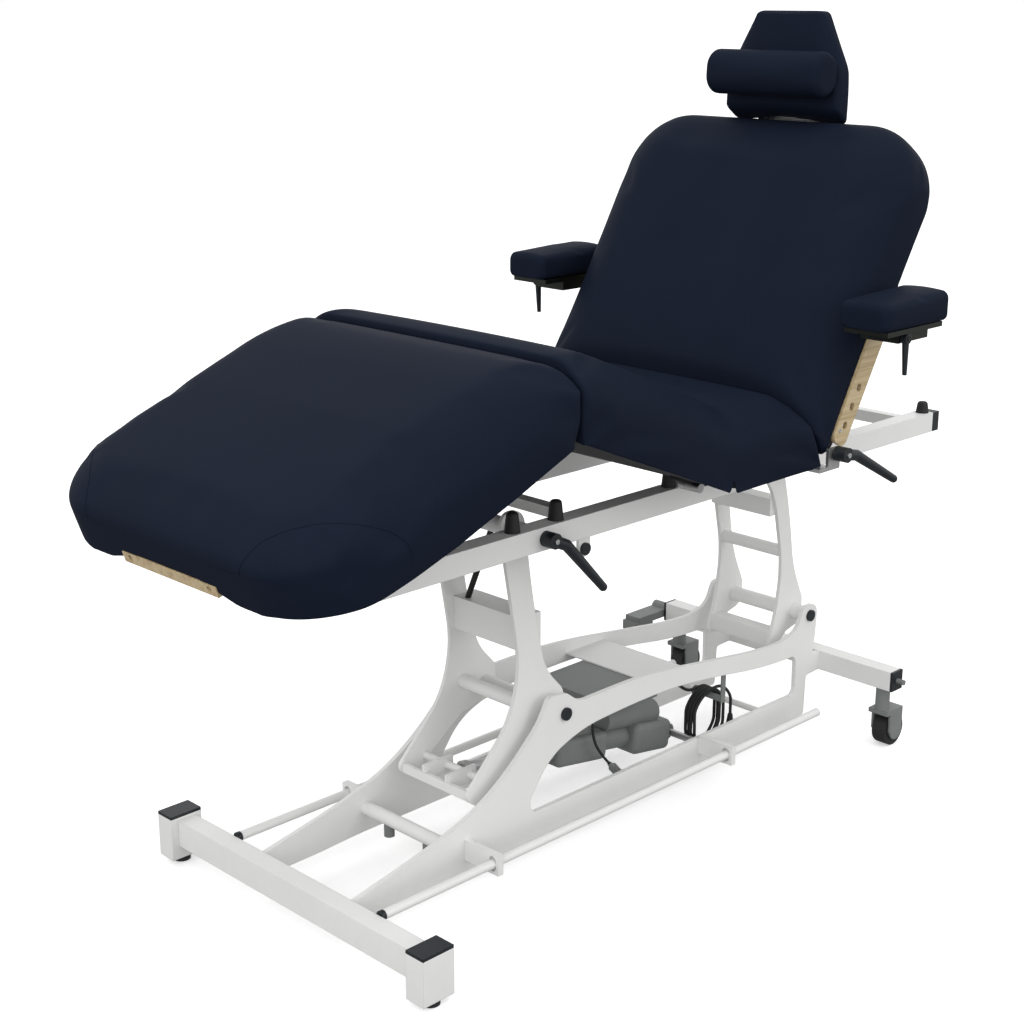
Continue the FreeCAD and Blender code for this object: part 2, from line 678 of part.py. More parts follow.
# A slim stay runs across the upper window of the front arm, from the box rung to the upper tube.
stay_low = Vector(dim.lift_pivot_x - dim.arm_lean * 0.44 - 20, dim.front_arm_y - 34,
                  dim.lift_pivot_z + dim.arm_rise * 0.44 + 34)
stay_high = Vector(dim.lift_pivot_x - dim.arm_lean, dim.front_arm_y - 153, dim.lift_pivot_z + dim.arm_rise)
stay_line = stay_high - stay_low
stay_cut = Part.makeCylinder(dim.pivot_tube_radius, dim.front_arm_y * 2,
                             Vector(stay_high.x, -dim.front_arm_y, stay_high.z), Vector(0, 1, 0))
stay_floor = Part.makeBox(200, 200, 60, stay_low - Vector(100, 100, 60))
stay_base = stay_low - stay_line * (20 / stay_line.Length)
stay_shape = Part.makeCylinder(dim.stay_radius, stay_line.Length + 20, stay_base, stay_line)
node("arm_stay", solid_feature("ArmStay", stay_shape.cut(stay_cut).cut(stay_floor)))

rear_members = arm_tubes("RearTube", "rear_pivot_x")
for place, share, size in (("High", "0.66", "20"), ("Low", "-0.125", "18")):
    middle_x = lean_at("rear_pivot_x", "arm_rise * %s" % share) if place == "High" else "rear_pivot_x - 66"
    middle_z = "lift_pivot_z + arm_rise * %s" % share
    rung_span_x = ("%s - %s" % (middle_x, size), "%s + %s" % (middle_x, size))
    rung_span_z = ("%s - %s" % (middle_z, size), "%s + %s" % (middle_z, size))
    rear_members.append(box("RearBoxRung" + place, rung_span_x, rear_inner_y, rung_span_z))
rear_members.append(rod("RearRoundRung", "y", "cross_tube_radius", rear_inner_y,
                        (lean_at("rear_pivot_x", "arm_rise * 0.38"), "lift_pivot_z + arm_rise * 0.38")))
node("rear_arm_members", *rear_members)

# Actuator along the line from its anchor to the tail pin. Local x runs from the anchor along the tube.
tail = Vector(dim.lift_pivot_x - dim.tail_back, 0, dim.lift_pivot_z - dim.tail_drop)
anchor = Vector(dim.anchor_x, 0, dim.anchor_z)
reach = tail - anchor
actuator_length = reach.Length
actuator_place = Placement(anchor, Rotation(Vector(1, 0, 0), reach))
upward = actuator_place.Rotation.multVec(Vector(0, 0, 1)).z
flip = 1.0 if upward > 0 else -1.0
eye = rod("ActuatorEye", "y", "anchor_radius * 2.2", ("-gear_width * 0.3", "gear_width * 0.3"), ("0", "0"))
gear_x = ("10", "10 + gear_length")
gear = rounded(box("GearCase", gear_x, ("-gear_width / 2", "gear_width / 2"),
                   ("-gear_height / 2", "gear_height / 2")), dim.case_corner)
sleeve = rod("ActuatorSleeve", "x", "actuator_tube_radius", ("10", "actuator_tube_end"), ("0", "0"))
motor = rod("ActuatorMotor", "x", "motor_radius", ("40", "40 + motor_length"),
            ("0", "%d * motor_offset" % flip))
nose = rod("ActuatorNose", "x", "actuator_tube_radius * 1.2",
           ("actuator_tube_end - 24", "actuator_tube_end"), ("0", "0"))
shell = rounded(box("ActuatorShell", ("actuator_tube_end * 0.5", "actuator_tube_end * 0.86"),
                    ("-gear_width * 0.42", "gear_width * 0.42"),
                    ("-gear_height * 0.46", "gear_height * 0.46")), dim.case_corner)
housing = fuse("ActuatorCase", eye, gear, sleeve, motor, shell, nose)
eye_bore = rod("ActuatorEyeBore", "y", "anchor_radius + running_gap", ("-gear_width", "gear_width"),
               ("0", "0"))
rod_bore = rod("ActuatorRodBore", "x", "actuator_rod_radius + running_gap", ("24", "actuator_tube_end + 1"),
               ("0", "0"))
node("actuator_housing", cut("ActuatorHousing", housing, eye_bore, rod_bore), place=actuator_place)
rod_end = actuator_length - dim.tail_pin_radius - dim.tail_play
rod_shape = Part.makeCylinder(dim.actuator_rod_radius, rod_end - 300, Vector(300, 0, 0), Vector(1, 0, 0))
rod_head = Part.makeCylinder(dim.actuator_rod_radius * 1.3, 14, Vector(rod_end - 14, 0, 0), Vector(1, 0, 0))
rod_item = solid_feature("ActuatorRod", rod_shape.fuse(rod_head).removeSplitter())
node("actuator_rod", rod_item, place=actuator_place)

# Top frame: rails, end plugs, cross bars, seat bearers, pivots and studs.
rail_z = (top_z + " - rail_drop", top_z + " - rail_drop + rail_height")
rail_top = rail_z[1]
rail_x = ("rail_foot_x", "rail_head_x")
rail_pieces = []
plug_pieces = []
bar_pieces = []
pivot_pieces = []
deck_z = "hinge_z + hinge_drop"
for side, span in both_sides("rail_inner_y", "rail_inner_y + rail_width"):
    outer = box("RailOuter" + side, rail_x, span, rail_z)
    inner = box("RailInner" + side, rail_x, ("(%s) + tube_wall" % span[0], "(%s) - tube_wall" % span[1]),
                (rail_z[0] + " + tube_wall", rail_z[1] + " - tube_wall"))
    rail_pieces.append(cut("Rail" + side, outer, inner))
    for place, ends in (("Foot", ("rail_foot_x - rail_cap_thick", "rail_foot_x")),
                        ("Head", ("rail_head_x", "rail_head_x + rail_cap_thick"))):
        plug_pieces.append(box("RailPlug%s%s" % (side, place), ends, span, rail_z))
# A white lug under the near rail with the black head of its stud.
rail_outer_y = "rail_inner_y + rail_width"
lug_y = ("-(%s)" % rail_outer_y, "-(%s) + tube_wall * 2" % rail_outer_y)
lug_plate = box("RailLugPlate", ("lug_x - lug_half", "lug_x + lug_half"), lug_y, ("lug_z", rail_z[0]))
lug_end = rod("RailLugEnd", "y", "lug_half", lug_y, ("lug_x", "lug_z"))
bar_pieces.append(fuse("RailLug", lug_plate, lug_end))
plug_pieces.append(rod("RailLugHead", "y", "lug_stud_radius",
                       ("-(%s) - end_cap_thick" % rail_outer_y, "-(%s)" % rail_outer_y), ("lug_x", "lug_z")))
node("top_rails", *rail_pieces)
node("rail_end_caps", *plug_pieces)
rail_inside = ("-rail_inner_y", "rail_inner_y")
bar_pieces.append(box("KneeBar", ("cross_bar_x - cross_bar_size / 2", "cross_bar_x + cross_bar_size / 2"),
                      ("-(rail_inner_y + tube_wall)", "rail_inner_y + tube_wall"),
                      (rail_top, rail_top + " + cross_bar_size * 0.8")))
head_bar_z = (rail_top + " - cross_bar_size * 1.4", rail_top + " - cross_bar_size * 0.4")
bar_pieces.append(box("HeadBar", ("head_bar_x - cross_bar_size / 2", "head_bar_x + cross_bar_size / 2"),
                      rail_inside, head_bar_z))
for place, station in (("Front", "hip_x + seat_length * 0.6"), ("Back", "hip_x + seat_length * 0.88")):
    bearer_x = (station + " - bearer_width / 2", station + " + bearer_width / 2")
    for side, span in both_sides("rail_inner_y", "rail_inner_y + rail_width"):
        bar_pieces.append(box("SeatBearer" + place + side, bearer_x, span, (rail_top, deck_z)))
node("top_cross_members", *bar_pieces)
for place, station in (("Front", "lift_pivot_x - arm_lean"), ("Back", "rear_pivot_x - arm_lean")):
    pivot_pieces.append(rod("UpperShaft" + place, "y", "pivot_radius", rail_inside, (station, top_z)))
bumper_pieces = []
tall_bumper = "%s - (%s) - 1" % (deck_z, rail_top)
bumper_stations = (("hip_x - thigh_length * 0.84", tall_bumper), ("hip_x - thigh_length * 0.59", tall_bumper),
                   ("hip_x + seat_length * 0.18", tall_bumper),
                   ("rail_head_x - bumper_radius", "head_bumper_tall"))
for place, (station, tall) in enumerate(bumper_stations):
    for side, sign in (("Near", "-1"), ("Far", "1")):
        cone = add("Part::Cone", "Bumper%d%s" % (place, side))
        bind(cone, "Radius1", "bumper_radius")
        bind(cone, "Radius2", "bumper_tip_radius")
        bind(cone, "Height", tall)
        bind(cone, "Placement.Base.x", station)
        bind(cone, "Placement.Base.y", sign + " * (rail_inner_y + rail_width / 2)")
        bind(cone, "Placement.Base.z", rail_top)
        doc.recompute()
        rims = [(edge.BoundBox.ZMax, index + 1) for index, edge in enumerate(cone.Shape.Edges)
                if edge.BoundBox.ZLength < 0.1]
        dome = add("Part::Fillet", "Dome%d%s" % (place, side))
        dome.Base = cone
        dome.Edges = [(max(rims)[1], dim.bumper_dome, dim.bumper_dome)]
        bumper_pieces.append(dome)
node("rail_bumpers", *bumper_pieces)

# Placements of the hinged sections at rest.
hip = Vector(dim.hip_x, 0, dim.hinge_z)
thigh_place = placed(hip.x, hip.z, dim.thigh_angle)
knee = thigh_place.multVec(Vector(-dim.thigh_length, 0, 0))
leg_place = placed(knee.x, knee.z, -dim.leg_angle)
seat_place = placed(hip.x, hip.z, 0)
back_axis = hip + Vector(dim.seat_length, 0, 0)
back_place = placed(back_axis.x, back_axis.z, -dim.back_angle)


def deck_board(name, x_span, corner_low, corner_high):
    # A board with rounded plan corners, its underside above the hinge axis.
    half = dim.deck_half
    low, high = x_span
    loop = [(low, -half, corner_low), (high, -half, corner_high),
            (high, half, corner_high), (low, half, corner_low)]
    body = add("PartDesign::Body", name)
    sketch = body.newObject("Sketcher::SketchObject", name + "Outline")
    sketch.AttachmentSupport = [(origin_plane(body, "XY_Plane"), "")]
    sketch.MapMode = "FlatFace"
    sketch.addGeometry(soft_outline(loop), False)
    bind(sketch, "AttachmentOffset.Base.z", "hinge_drop")
    pad = body.newObject("PartDesign::Pad", name + "Pad")
    pad.Profile = sketch
    bind(pad, "Length", "deck_thick")
    body.Tip = pad
    return body


def knuckles(name, axis_x, reach_x, offsets):
    # Hinge leaves under a deck: eyes on the axis, each with a tongue to the deck underside.
    pieces = []
    for index, offset in enumerate(offsets):
        span = ("%s - knuckle_width / 2" % offset, "%s + knuckle_width / 2" % offset)
        eye_disc = rod("%sEye%d" % (name, index), "y", "knuckle_radius", span, (axis_x, "0"))
        low_x, high_x = reach_x
        tongue = box("%sTongue%d" % (name, index), (low_x, high_x), span, ("hinge_drop - 6", "hinge_drop"))
        hole = rod("%sHole%d" % (name, index), "y", "hinge_pin_radius + running_gap",
                   (span[0] + " - 1", span[1] + " + 1"), (axis_x, "0"))
        leaf = fuse("%sLeaf%d" % (name, index), eye_disc, tongue)
        pieces.append(cut("%sKnuckle%d" % (name, index), leaf, hole))
    return pieces


def hinge_pins(name, axis_x):
    length = "knuckle_width * 1.5 + side_gap"
    return [rod("%sPin%s" % (name, side), "y", "hinge_pin_radius",
                (sign + " * hinge_y - (%s)" % length, sign + " * hinge_y + %s" % length), (axis_x, "0"))
            for side, sign in (("Near", "-1"), ("Far", "1"))]


outer_offsets = [sign + " * hinge_y %s (knuckle_width + side_gap)" % way
                 for sign in ("-1", "1") for way in ("-", "+")]
inner_offsets = ["-1 * hinge_y", "hinge_y"]


def pillow_shape(x_span, halves, base_h, thick, crown, leans, corners, draw_in):
    # Loft through eight-edged outlines: shallow drawn-in sides, rounded corners, a crowned top.
    # The upper half of the side is a quarter ellipse that runs over into the crown.
    rise = 0.5 * thick + crown
    spread_in = 1.2 * thick
    steps = [(base_h, 0.06 * thick), (base_h + 0.2 * thick, 0.0), (base_h + 0.5 * thick, 0.0)]
    for degrees in (25.0, 45.0, 65.0, 90.0):
        angle = math.radians(degrees)
        steps.append((base_h + 0.5 * thick + rise * math.sin(angle), spread_in * (1.0 - math.cos(angle))))
    top_h = steps[-1][0]
    top_length = x_span[1] - x_span[0] - (leans[0] + leans[1]) * top_h
    end_share = min(1.0, 0.34 * top_length / spread_in)
    side_share = min(1.0, 0.6 * min(halves) / spread_in)
    wires = []
    for height, inset in steps:
        low = x_span[0] + leans[0] * height + inset * end_share
        high = x_span[1] - leans[1] * height - inset * end_share
        low_half = halves[0] - inset * side_share
        high_half = halves[1] - inset * side_share
        widest = 0.8 * min(low_half, high_half, (high - low) / 2)
        low_r = min(max(corners[0] - 0.4 * inset, 10.0), widest)
        high_r = min(max(corners[1] - 0.4 * inset, 10.0), widest)
        bow = draw_in * max(0.2, 1.0 - 0.8 * inset / spread_in)
        slope = math.atan2(high_half - low_half, high - low)
        dip_half = (low_half + high_half) / 2 - bow
        turn = 1.0 - math.sqrt(0.5)

        def at(x, y):
            return Vector(x, y, height)

        side_low = low_half + math.tan(slope) * low_r
        side_high = high_half - math.tan(slope) * high_r
        edges = []
        for sign in (-1.0, 1.0):
            start = at(low + low_r, sign * side_low)
            end = at(high - high_r, sign * side_high)
            middle = at((low + high) / 2, sign * dip_half)
            corner_mid = at(high - turn * high_r, sign * (high_half - turn * high_r))
            corner_end = at(high, sign * (high_half - high_r))
            low_mid = at(low + turn * low_r, sign * (low_half - turn * low_r))
            low_end = at(low, sign * (low_half - low_r))
            edges.append((start, middle, end, corner_mid, corner_end, low_mid, low_end))
        near, far = edges
        high_middle = at(high - bow * 0.4, 0)
        low_middle = at(low + bow * 0.4, 0)
        loop = [Part.Arc(near[0], near[1], near[2]), Part.Arc(near[2], near[3], near[4]),
                Part.Arc(near[4], high_middle, far[4]), Part.Arc(far[4], far[3], far[2]),
                Part.Arc(far[2], far[1], far[0]), Part.Arc(far[0], far[5], far[6]),
                Part.Arc(far[6], low_middle, near[6]), Part.Arc(near[6], near[5], near[0])]
        wires.append(Part.Wire([edge.toShape() for edge in loop]))
    return Part.makeLoft(wires, True, False)


deck_top = dim.hinge_drop + dim.deck_thick
gap = dim.cushion_gap
hip_slope = math.tan(math.radians(dim.hip_lean))
back_slope = math.tan(math.radians(dim.back_lean))
square = dim.square_corner
cushion_halves = (dim.cushion_half, dim.cushion_half)


def section_cushion(label, x_span, leans, corners, place, thick):
    shape = pillow_shape(x_span, cushion_halves, deck_top, thick, dim.cushion_crown, leans,
                         corners, dim.cushion_draw_in)
    node(label, solid_feature("Pillow_" + label, shape), place=place)


# Seat: fixed on the bearers, with the hinge pins of the thigh and back sections.
board_start = dim.deck_gap + dim.knuckle_radius
seat_board = deck_board("SeatBoard", (board_start, dim.seat_length - board_start), square, square)
seat_hinges = knuckles("SeatFront", "0", ("0", "60"), outer_offsets)
seat_hinges += knuckles("SeatRear", "seat_length", ("seat_length - 60", "seat_length"), outer_offsets)
seat_hinges += hinge_pins("Hip", "0") + hinge_pins("Rear", "seat_length")
node("seat_deck", seat_board, *seat_hinges, place=seat_place)
section_cushion("seat_cushion", (gap, dim.seat_length - gap), (hip_slope, back_slope), (square, square),
                seat_place, dim.cushion_thick)

# Thigh section, hinged at the hip, with the pins of the knee hinge.
thigh_board = deck_board("ThighBoard", (-dim.thigh_length + board_start, -board_start), square, square)
thigh_hinges = knuckles("ThighHip", "0", ("-60", "0"), inner_offsets)
thigh_hinges += knuckles("ThighKnee", "-thigh_length", ("-thigh_length", "-thigh_length + 60"),
                         outer_offsets)
thigh_hinges += hinge_pins("Knee", "-thigh_length")
node("thigh_deck", thigh_board, *thigh_hinges, place=thigh_place)
section_cushion("thigh_cushion", (-dim.thigh_length + gap, -gap), (0.0, hip_slope), (square, square),
                thigh_place, dim.cushion_thick)

# Leg section, hinged at the knee, with brackets for the two links and a wooden strip at the foot end.
strip = dim.strip_thick
leg_board = deck_board("LegBoard", (-dim.leg_length + strip, -board_start), dim.foot_corner - strip, square)
leg_hinges = knuckles("LegKnee", "0", ("-60", "0"), inner_offsets)
for side, sign in (("Near", "-1"), ("Far", "1")):
    lug_y = sign + " * (link_y + link_thick / 2 + 5)"
    lug = box("LinkLug" + side, ("-link_station - 12", "-link_station + 12"),
              (lug_y + " - 4", lug_y + " + 4"), ("-link_drop - 10", "hinge_drop"))
    pin_ends = ("link_y - link_thick / 2", "link_y + link_thick / 2 + 2")
    pin_span = dict(both_sides(*pin_ends))[side]
    far_pin = rod("LinkFarPin" + side, "y", "link_far_pin_radius", pin_span, ("-link_station", "-link_drop"))
    leg_hinges.append(fuse("LinkBracket" + side, lug, far_pin))
node("leg_deck", leg_board, *leg_hinges, place=leg_place)
section_cushion("leg_cushion", (-dim.leg_length, -gap), (0.0, 0.0), (dim.foot_corner, square), leg_place,
                dim.cushion_thick)
foot_x = ("-leg_length - 2", "-leg_length + strip_thick")
foot_bar = box("FootStrip", foot_x, ("-foot_strip_half", "foot_strip_half"),
               ("hinge_drop - 2", "hinge_drop + deck_thick"))
foot_holes = [rod("FootHole" + side, "x", "foot_strip_hole_radius",
                  (foot_x[0] + " - 1", foot_x[1] + " + 1"),
                  (sign + " * foot_strip_hole_y", "hinge_drop + deck_thick / 2"))
              for side, sign in (("Near", "-1"), ("Far", "1"))]
node("foot_strip", cut("FootStripBoard", foot_bar, *foot_holes), place=leg_place)

# Back section, with sockets for the headrest posts and armrest pins, and a drilled strip on each side.
deck_mid = "hinge_drop + deck_thick / 2"
back_board = deck_board("BackBoard", (board_start, dim.back_length), square, dim.head_corner)
back_tools = []
for side, sign in (("Near", "-1"), ("Far", "1")):
    back_tools.append(rod("PostSocket" + side, "x", "headrest_post_radius + running_gap",
                          ("back_length - headrest_post_depth - 100", "back_length + 1"),
                          (sign + " * post_spread / 2", deck_mid)))
    pin_hole = dict(both_sides("deck_half - armrest_pin_depth - 1", "deck_half + 1"))[side]
    back_tools.append(rod("ArmSocket" + side, "y", "strip_hole_radius + running_gap", pin_hole,
                          ("armrest_station", deck_mid)))
back_hinges = knuckles("BackHip", "0", ("0", "60"), inner_offsets)
node("back_deck", cut("BackDeck", back_board, *back_tools), *back_hinges, place=back_place)
section_cushion("back_cushion", (gap, dim.back_length), (back_slope, 0.0), (square, dim.head_corner),
                back_place, dim.back_cushion_thick)
strip_pieces = []
strip_spots = [("strip_hole_start + strip_hole_pitch * %d" % count, "strip_hole_h") for count in range(3)]
strip_spots.append(("armrest_station", deck_mid))
for side, span in both_sides("deck_half", "deck_half + strip_thick"):
    plank = box("BackStrip" + side, ("back_strip_start", "back_strip_end"), span,
                ("strip_low", "hinge_drop + deck_thick"))
    doc.recompute()
    ends = add("Part::Fillet", "BackStripEnds" + side)
    ends.Base = plank
    corner_edges = [index + 1 for index, edge in enumerate(plank.Shape.Edges)
                    if edge.BoundBox.YLength > dim.strip_thick - 0.1]
    ends.Edges = [(number, dim.strip_corner, dim.strip_corner) for number in corner_edges]
    drills = [rod("StripHole%s%d" % (side, count), "y", "strip_hole_radius + running_gap",
                  ("(%s) - 1" % span[0], "(%s) + 1" % span[1]), spot)
              for count, spot in enumerate(strip_spots)]
    strip_pieces.append(cut("BackStripBoard" + side, ends, *drills))
node("back_strips", *strip_pieces, place=back_place)

# Armrests: a pin in the strip, a boss with a board on it, a pad and a clamp lever.
pin_point = back_place.multVec(Vector(dim.armrest_station, 0, dim.hinge_drop + dim.deck_thick / 2))
boss = dim.armrest_boss_half
pad_x0 = pin_point.x - dim.armrest_length * 0.74
pad_x1 = pin_point.x + dim.armrest_length * 0.26
inner_edge = dim.deck_half + dim.strip_thick + dim.armrest_gap
outer_edge = inner_edge + dim.armrest_width
board_z = pin_point.z + boss
pad_z = board_z + dim.armrest_board_thick
lever_x = pin_point.x - dim.armrest_lever_back
for side, sign in (("near", -1.0), ("far", 1.0)):
    def spread(x0, x1, y0, y1, z0, z1):
        lower = min(sign * y0, sign * y1)
        return Part.makeBox(x1 - x0, abs(y1 - y0), z1 - z0, Vector(x0, lower, z0))

    def across(radius, y0, y1, x, z):
        return Part.makeCylinder(radius, abs(y1 - y0), Vector(x, sign * y0, z), Vector(0, sign, 0))

    pin_start = dim.deck_half - dim.armrest_pin_depth
    pin = across(dim.strip_hole_radius, pin_start, inner_edge + 12, pin_point.x, pin_point.z)
    block = spread(lever_x - 14, pin_point.x + 14, inner_edge + 6, outer_edge - 22,
                   pin_point.z - boss, board_z)
    stud = across(dim.stud_radius, outer_edge - 22, outer_edge - 6, lever_x, pin_point.z)
    board = spread(pad_x0 + 14, pad_x1 - 14, inner_edge + 6, outer_edge - 8, board_z, pad_z)
    arm = pin.fuse(block).fuse(stud).removeSplitter()
    node("armrest_arm_" + side, solid_feature("ArmrestArm_" + side, arm.fuse(board).removeSplitter()))
    pad_half = dim.armrest_width / 2
    pad = pillow_shape((pad_x0, pad_x1), (pad_half, pad_half), 0.0, dim.armrest_pad_thick, 4.0, (0.0, 0.0),
                       (30.0, 30.0), 2.0)
    pad.translate(Vector(0, sign * (inner_edge + pad_half), pad_z))
    node("armrest_pad_" + side, solid_feature("ArmrestPad_" + side, pad))
    hub = across(dim.stud_radius * 2, outer_edge - 21.5, outer_edge - 7.5, lever_x, pin_point.z)
    grip_root = Vector(lever_x, sign * (outer_edge - 14.5), pin_point.z - 4)
    grip = Part.makeCone(7, 4.5, dim.armrest_lever_length, grip_root, Vector(0.05, 0, -1))
    hole = across(dim.stud_radius + dim.running_gap, outer_edge - 23, outer_edge - 5, lever_x, pin_point.z)
    lever = hub.fuse(grip).cut(hole).removeSplitter()
    node("armrest_lever_" + side, solid_feature("ArmrestLever_" + side, lever))

# Headrest: two sliding posts with a hinge bar, a tilting board, a tapered pad and a neck roll.
bar_h = "headrest_hinge_h"
mount_pieces = []
for side, sign in (("Near", "-1"), ("Far", "1")):
    post_y = sign + " * post_spread / 2"
    mount_pieces.append(rod("HeadPost" + side, "x", "headrest_post_radius",
                            ("back_length - headrest_post_depth", "headrest_station"), (post_y, deck_mid)))
    mount_pieces.append(box("HeadLug" + side, ("headrest_station - 8", "headrest_station + 8"),
                            (post_y + " - 9", post_y + " + 9"), (bar_h + " - 7", bar_h + " + 7")))
mount_pieces.append(rod("HeadBarRod", "y", "hinge_pin_radius",
                        ("-post_spread / 2 - 30", "post_spread / 2 + 30"), ("headrest_station", bar_h)))
node("headrest_mount", fuse("HeadMount", *mount_pieces), place=back_place)
head_place = back_place.multiply(placed(dim.headrest_station, dim.headrest_hinge_h, -dim.headrest_angle))
head_pieces = [box("HeadBoard", ("14", "headrest_length - 18"),
                   ("-headrest_high_half + 12", "headrest_high_half - 12"),
                   ("knuckle_radius", "knuckle_radius + headrest_board_thick"))]
for side, sign in (("Near", "-1"), ("Far", "1")):
    eye_y = sign + " * (post_spread / 2 + 20)"
    eye_span = (eye_y + " - 8", eye_y + " + 8")
    head_eye = rod("HeadEye" + side, "y", "knuckle_radius", eye_span, ("0", "0"))
    head_tongue = box("HeadTongue" + side, ("-knuckle_radius * 0.7", "40"), eye_span,
                      ("knuckle_radius * 0.6", "knuckle_radius + headrest_board_thick"))
    head_hole = rod("HeadHole" + side, "y", "hinge_pin_radius + running_gap",
                    (eye_span[0] + " - 1", eye_span[1] + " + 1"), ("0", "0"))
    head_pieces.append(cut("HeadLeaf" + side, fuse("HeadKnuckle" + side, head_eye, head_tongue), head_hole))
node("headrest_board", fuse("HeadBoardLeaves", *head_pieces), place=head_place)
pad_base = dim.knuckle_radius + dim.headrest_board_thick
head_halves = (dim.headrest_low_half, dim.headrest_high_half)
head_pad = pillow_shape((-8.0, dim.headrest_length), head_halves, pad_base, dim.headrest_pad_thick, 5.0,
                        (0.0, 0.0), (34.0, 40.0), 3.0)
node("headrest_pad", solid_feature("HeadrestPad", head_pad), place=head_place)
roll_body = add("PartDesign::Body", "NeckRoll")
roll_sketch = roll_body.newObject("Sketcher::SketchObject", "NeckRollProfile")
roll_sketch.AttachmentSupport = [(origin_plane(roll_body, "XY_Plane"), "")]
roll_sketch.MapMode = "FlatFace"
roll_half = dim.roll_length / 2
roll_r = dim.roll_radius
crown_r = roll_r + 3.0
shoulder = 0.3 * roll_r
profile = [Part.LineSegment(Vector(0, -roll_half, 0), Vector(roll_r - shoulder, -roll_half, 0)),
           Part.Arc(Vector(roll_r - shoulder, -roll_half, 0),
                    Vector(roll_r - shoulder * 0.29, -roll_half + shoulder * 0.29, 0),
                    Vector(roll_r, -roll_half + shoulder, 0)),
           Part.Arc(Vector(roll_r, -roll_half + shoulder, 0), Vector(crown_r, 0, 0),
                    Vector(roll_r, roll_half - shoulder, 0)),
           Part.Arc(Vector(roll_r, roll_half - shoulder, 0),
                    Vector(roll_r - shoulder * 0.29, roll_half - shoulder * 0.29, 0),
                    Vector(roll_r - shoulder, roll_half, 0)),
           Part.LineSegment(Vector(roll_r - shoulder, roll_half, 0), Vector(0, roll_half, 0)),
           Part.LineSegment(Vector(0, roll_half, 0), Vector(0, -roll_half, 0))]
roll_sketch.addGeometry(profile, False)
roll_turn = roll_body.newObject("PartDesign::Revolution", "NeckRollTurn")
roll_turn.Profile = roll_sketch
roll_turn.ReferenceAxis = (roll_sketch, ["V_Axis"])
roll_turn.Angle = 360.0
roll_body.Tip = roll_turn
roll_flat = 0.3 * roll_r
roll_slab = box("NeckRollSlab", ("-roll_radius * 2", "roll_radius * 2"), ("-roll_length", "roll_length"),
                ("-roll_radius * 2", "-roll_radius * 0.3"))
roll_h = pad_base + dim.headrest_pad_thick + 5.6 + roll_flat
roll_place = head_place.multiply(Placement(Vector(dim.headrest_length * 0.44, 0, roll_h), Rotation()))
node("headrest_roll", cut("NeckRollFlat", roll_body, roll_slab), place=roll_place)

# Knee linkage: the link pivot lies where both the raised and the flat leg bracket are equally far away.
bracket_local = Vector(-dim.link_station, 0, -dim.link_drop)
link_rest = leg_place.multVec(bracket_local)
flat_knee = hip - Vector(dim.thigh_length, 0, 0)
link_flat = flat_knee + bracket_local
halfway = (link_rest + link_flat) * 0.5
drift = link_rest - link_flat
square_way = Vector(drift.z, 0, -drift.x).normalize()
link_pivot = halfway + square_way * dim.link_reach
link_bodies = []
for side, start in (("Near", "-(link_y - link_thick / 2)"), ("Far", "link_y + link_thick / 2")):
    line = (link_rest - link_pivot).normalize()
    normal = Vector(-line.z, 0, line.x)
    half = dim.link_half
    corners = [link_pivot - line * half + normal * half, link_pivot - line * half - normal * half,
               link_rest + line * half - normal * half, link_rest + line * half + normal * half]
    outline = [(corner.x, corner.z, half * 0.98) for corner in corners]
    circles = [(link_pivot.x, link_pivot.z, dim.link_pin_radius + dim.running_gap),
               (link_rest.x, link_rest.z, dim.link_far_hole_radius)]
    link_bodies.append(plate_body("LegLink" + side, (outline,), circles, start, "link_thick"))
node("leg_links", *link_bodies)
rail_top_z = dim.lift_pivot_z + dim.arm_rise - dim.rail_drop + dim.rail_height
for side, sign in (("Near", -1.0), ("Far", 1.0)):
    lug_low = dim.link_y + dim.link_thick / 2 + 1
    lug_y = lug_low if sign > 0 else -(lug_low + 8)
    lug = Part.makeBox(24, 8, link_pivot.z + 10 - rail_top_z, Vector(link_pivot.x - 12, lug_y, rail_top_z))
    pin_base = Vector(link_pivot.x, sign * (lug_low + 1), link_pivot.z)
    pin_shape = Part.makeCylinder(dim.link_pin_radius, dim.link_thick + 1.5, pin_base, Vector(0, -sign, 0))
    pivot_pieces.append(solid_feature("LinkPivot" + side, lug.fuse(pin_shape).removeSplitter()))

# Studs and hubs of the knee lever on the near rail and the back lever under the seat.
knee_stud_y = ("-(%s) - lever_hub_length - 4" % rail_outer_y, "-(%s)" % rail_outer_y)
pivot_pieces.append(rod("KneeStud", "y", "stud_radius", knee_stud_y, ("knee_lever_x", top_z)))
lever_bracket = box("BackLeverBracket", ("back_lever_x - 26", "back_lever_x + 12"),
                    ("-back_lever_y", "-back_lever_y + 7"), (deck_z + " - 8", "back_lever_z + 12"))
lever_foot = box("BackLeverFoot", ("hip_x + seat_length - 50", "back_lever_x - 16"),
                 ("-back_lever_y", "-deck_half + 20"), (deck_z + " - 8", deck_z))
back_stud = rod("BackStud", "y", "stud_radius", ("-back_lever_y - lever_hub_length - 4", "-back_lever_y"),
                ("back_lever_x", "back_lever_z"))
pivot_pieces.append(fuse("BackLeverMount", lever_bracket, lever_foot, back_stud))
node("top_pivots", *pivot_pieces)


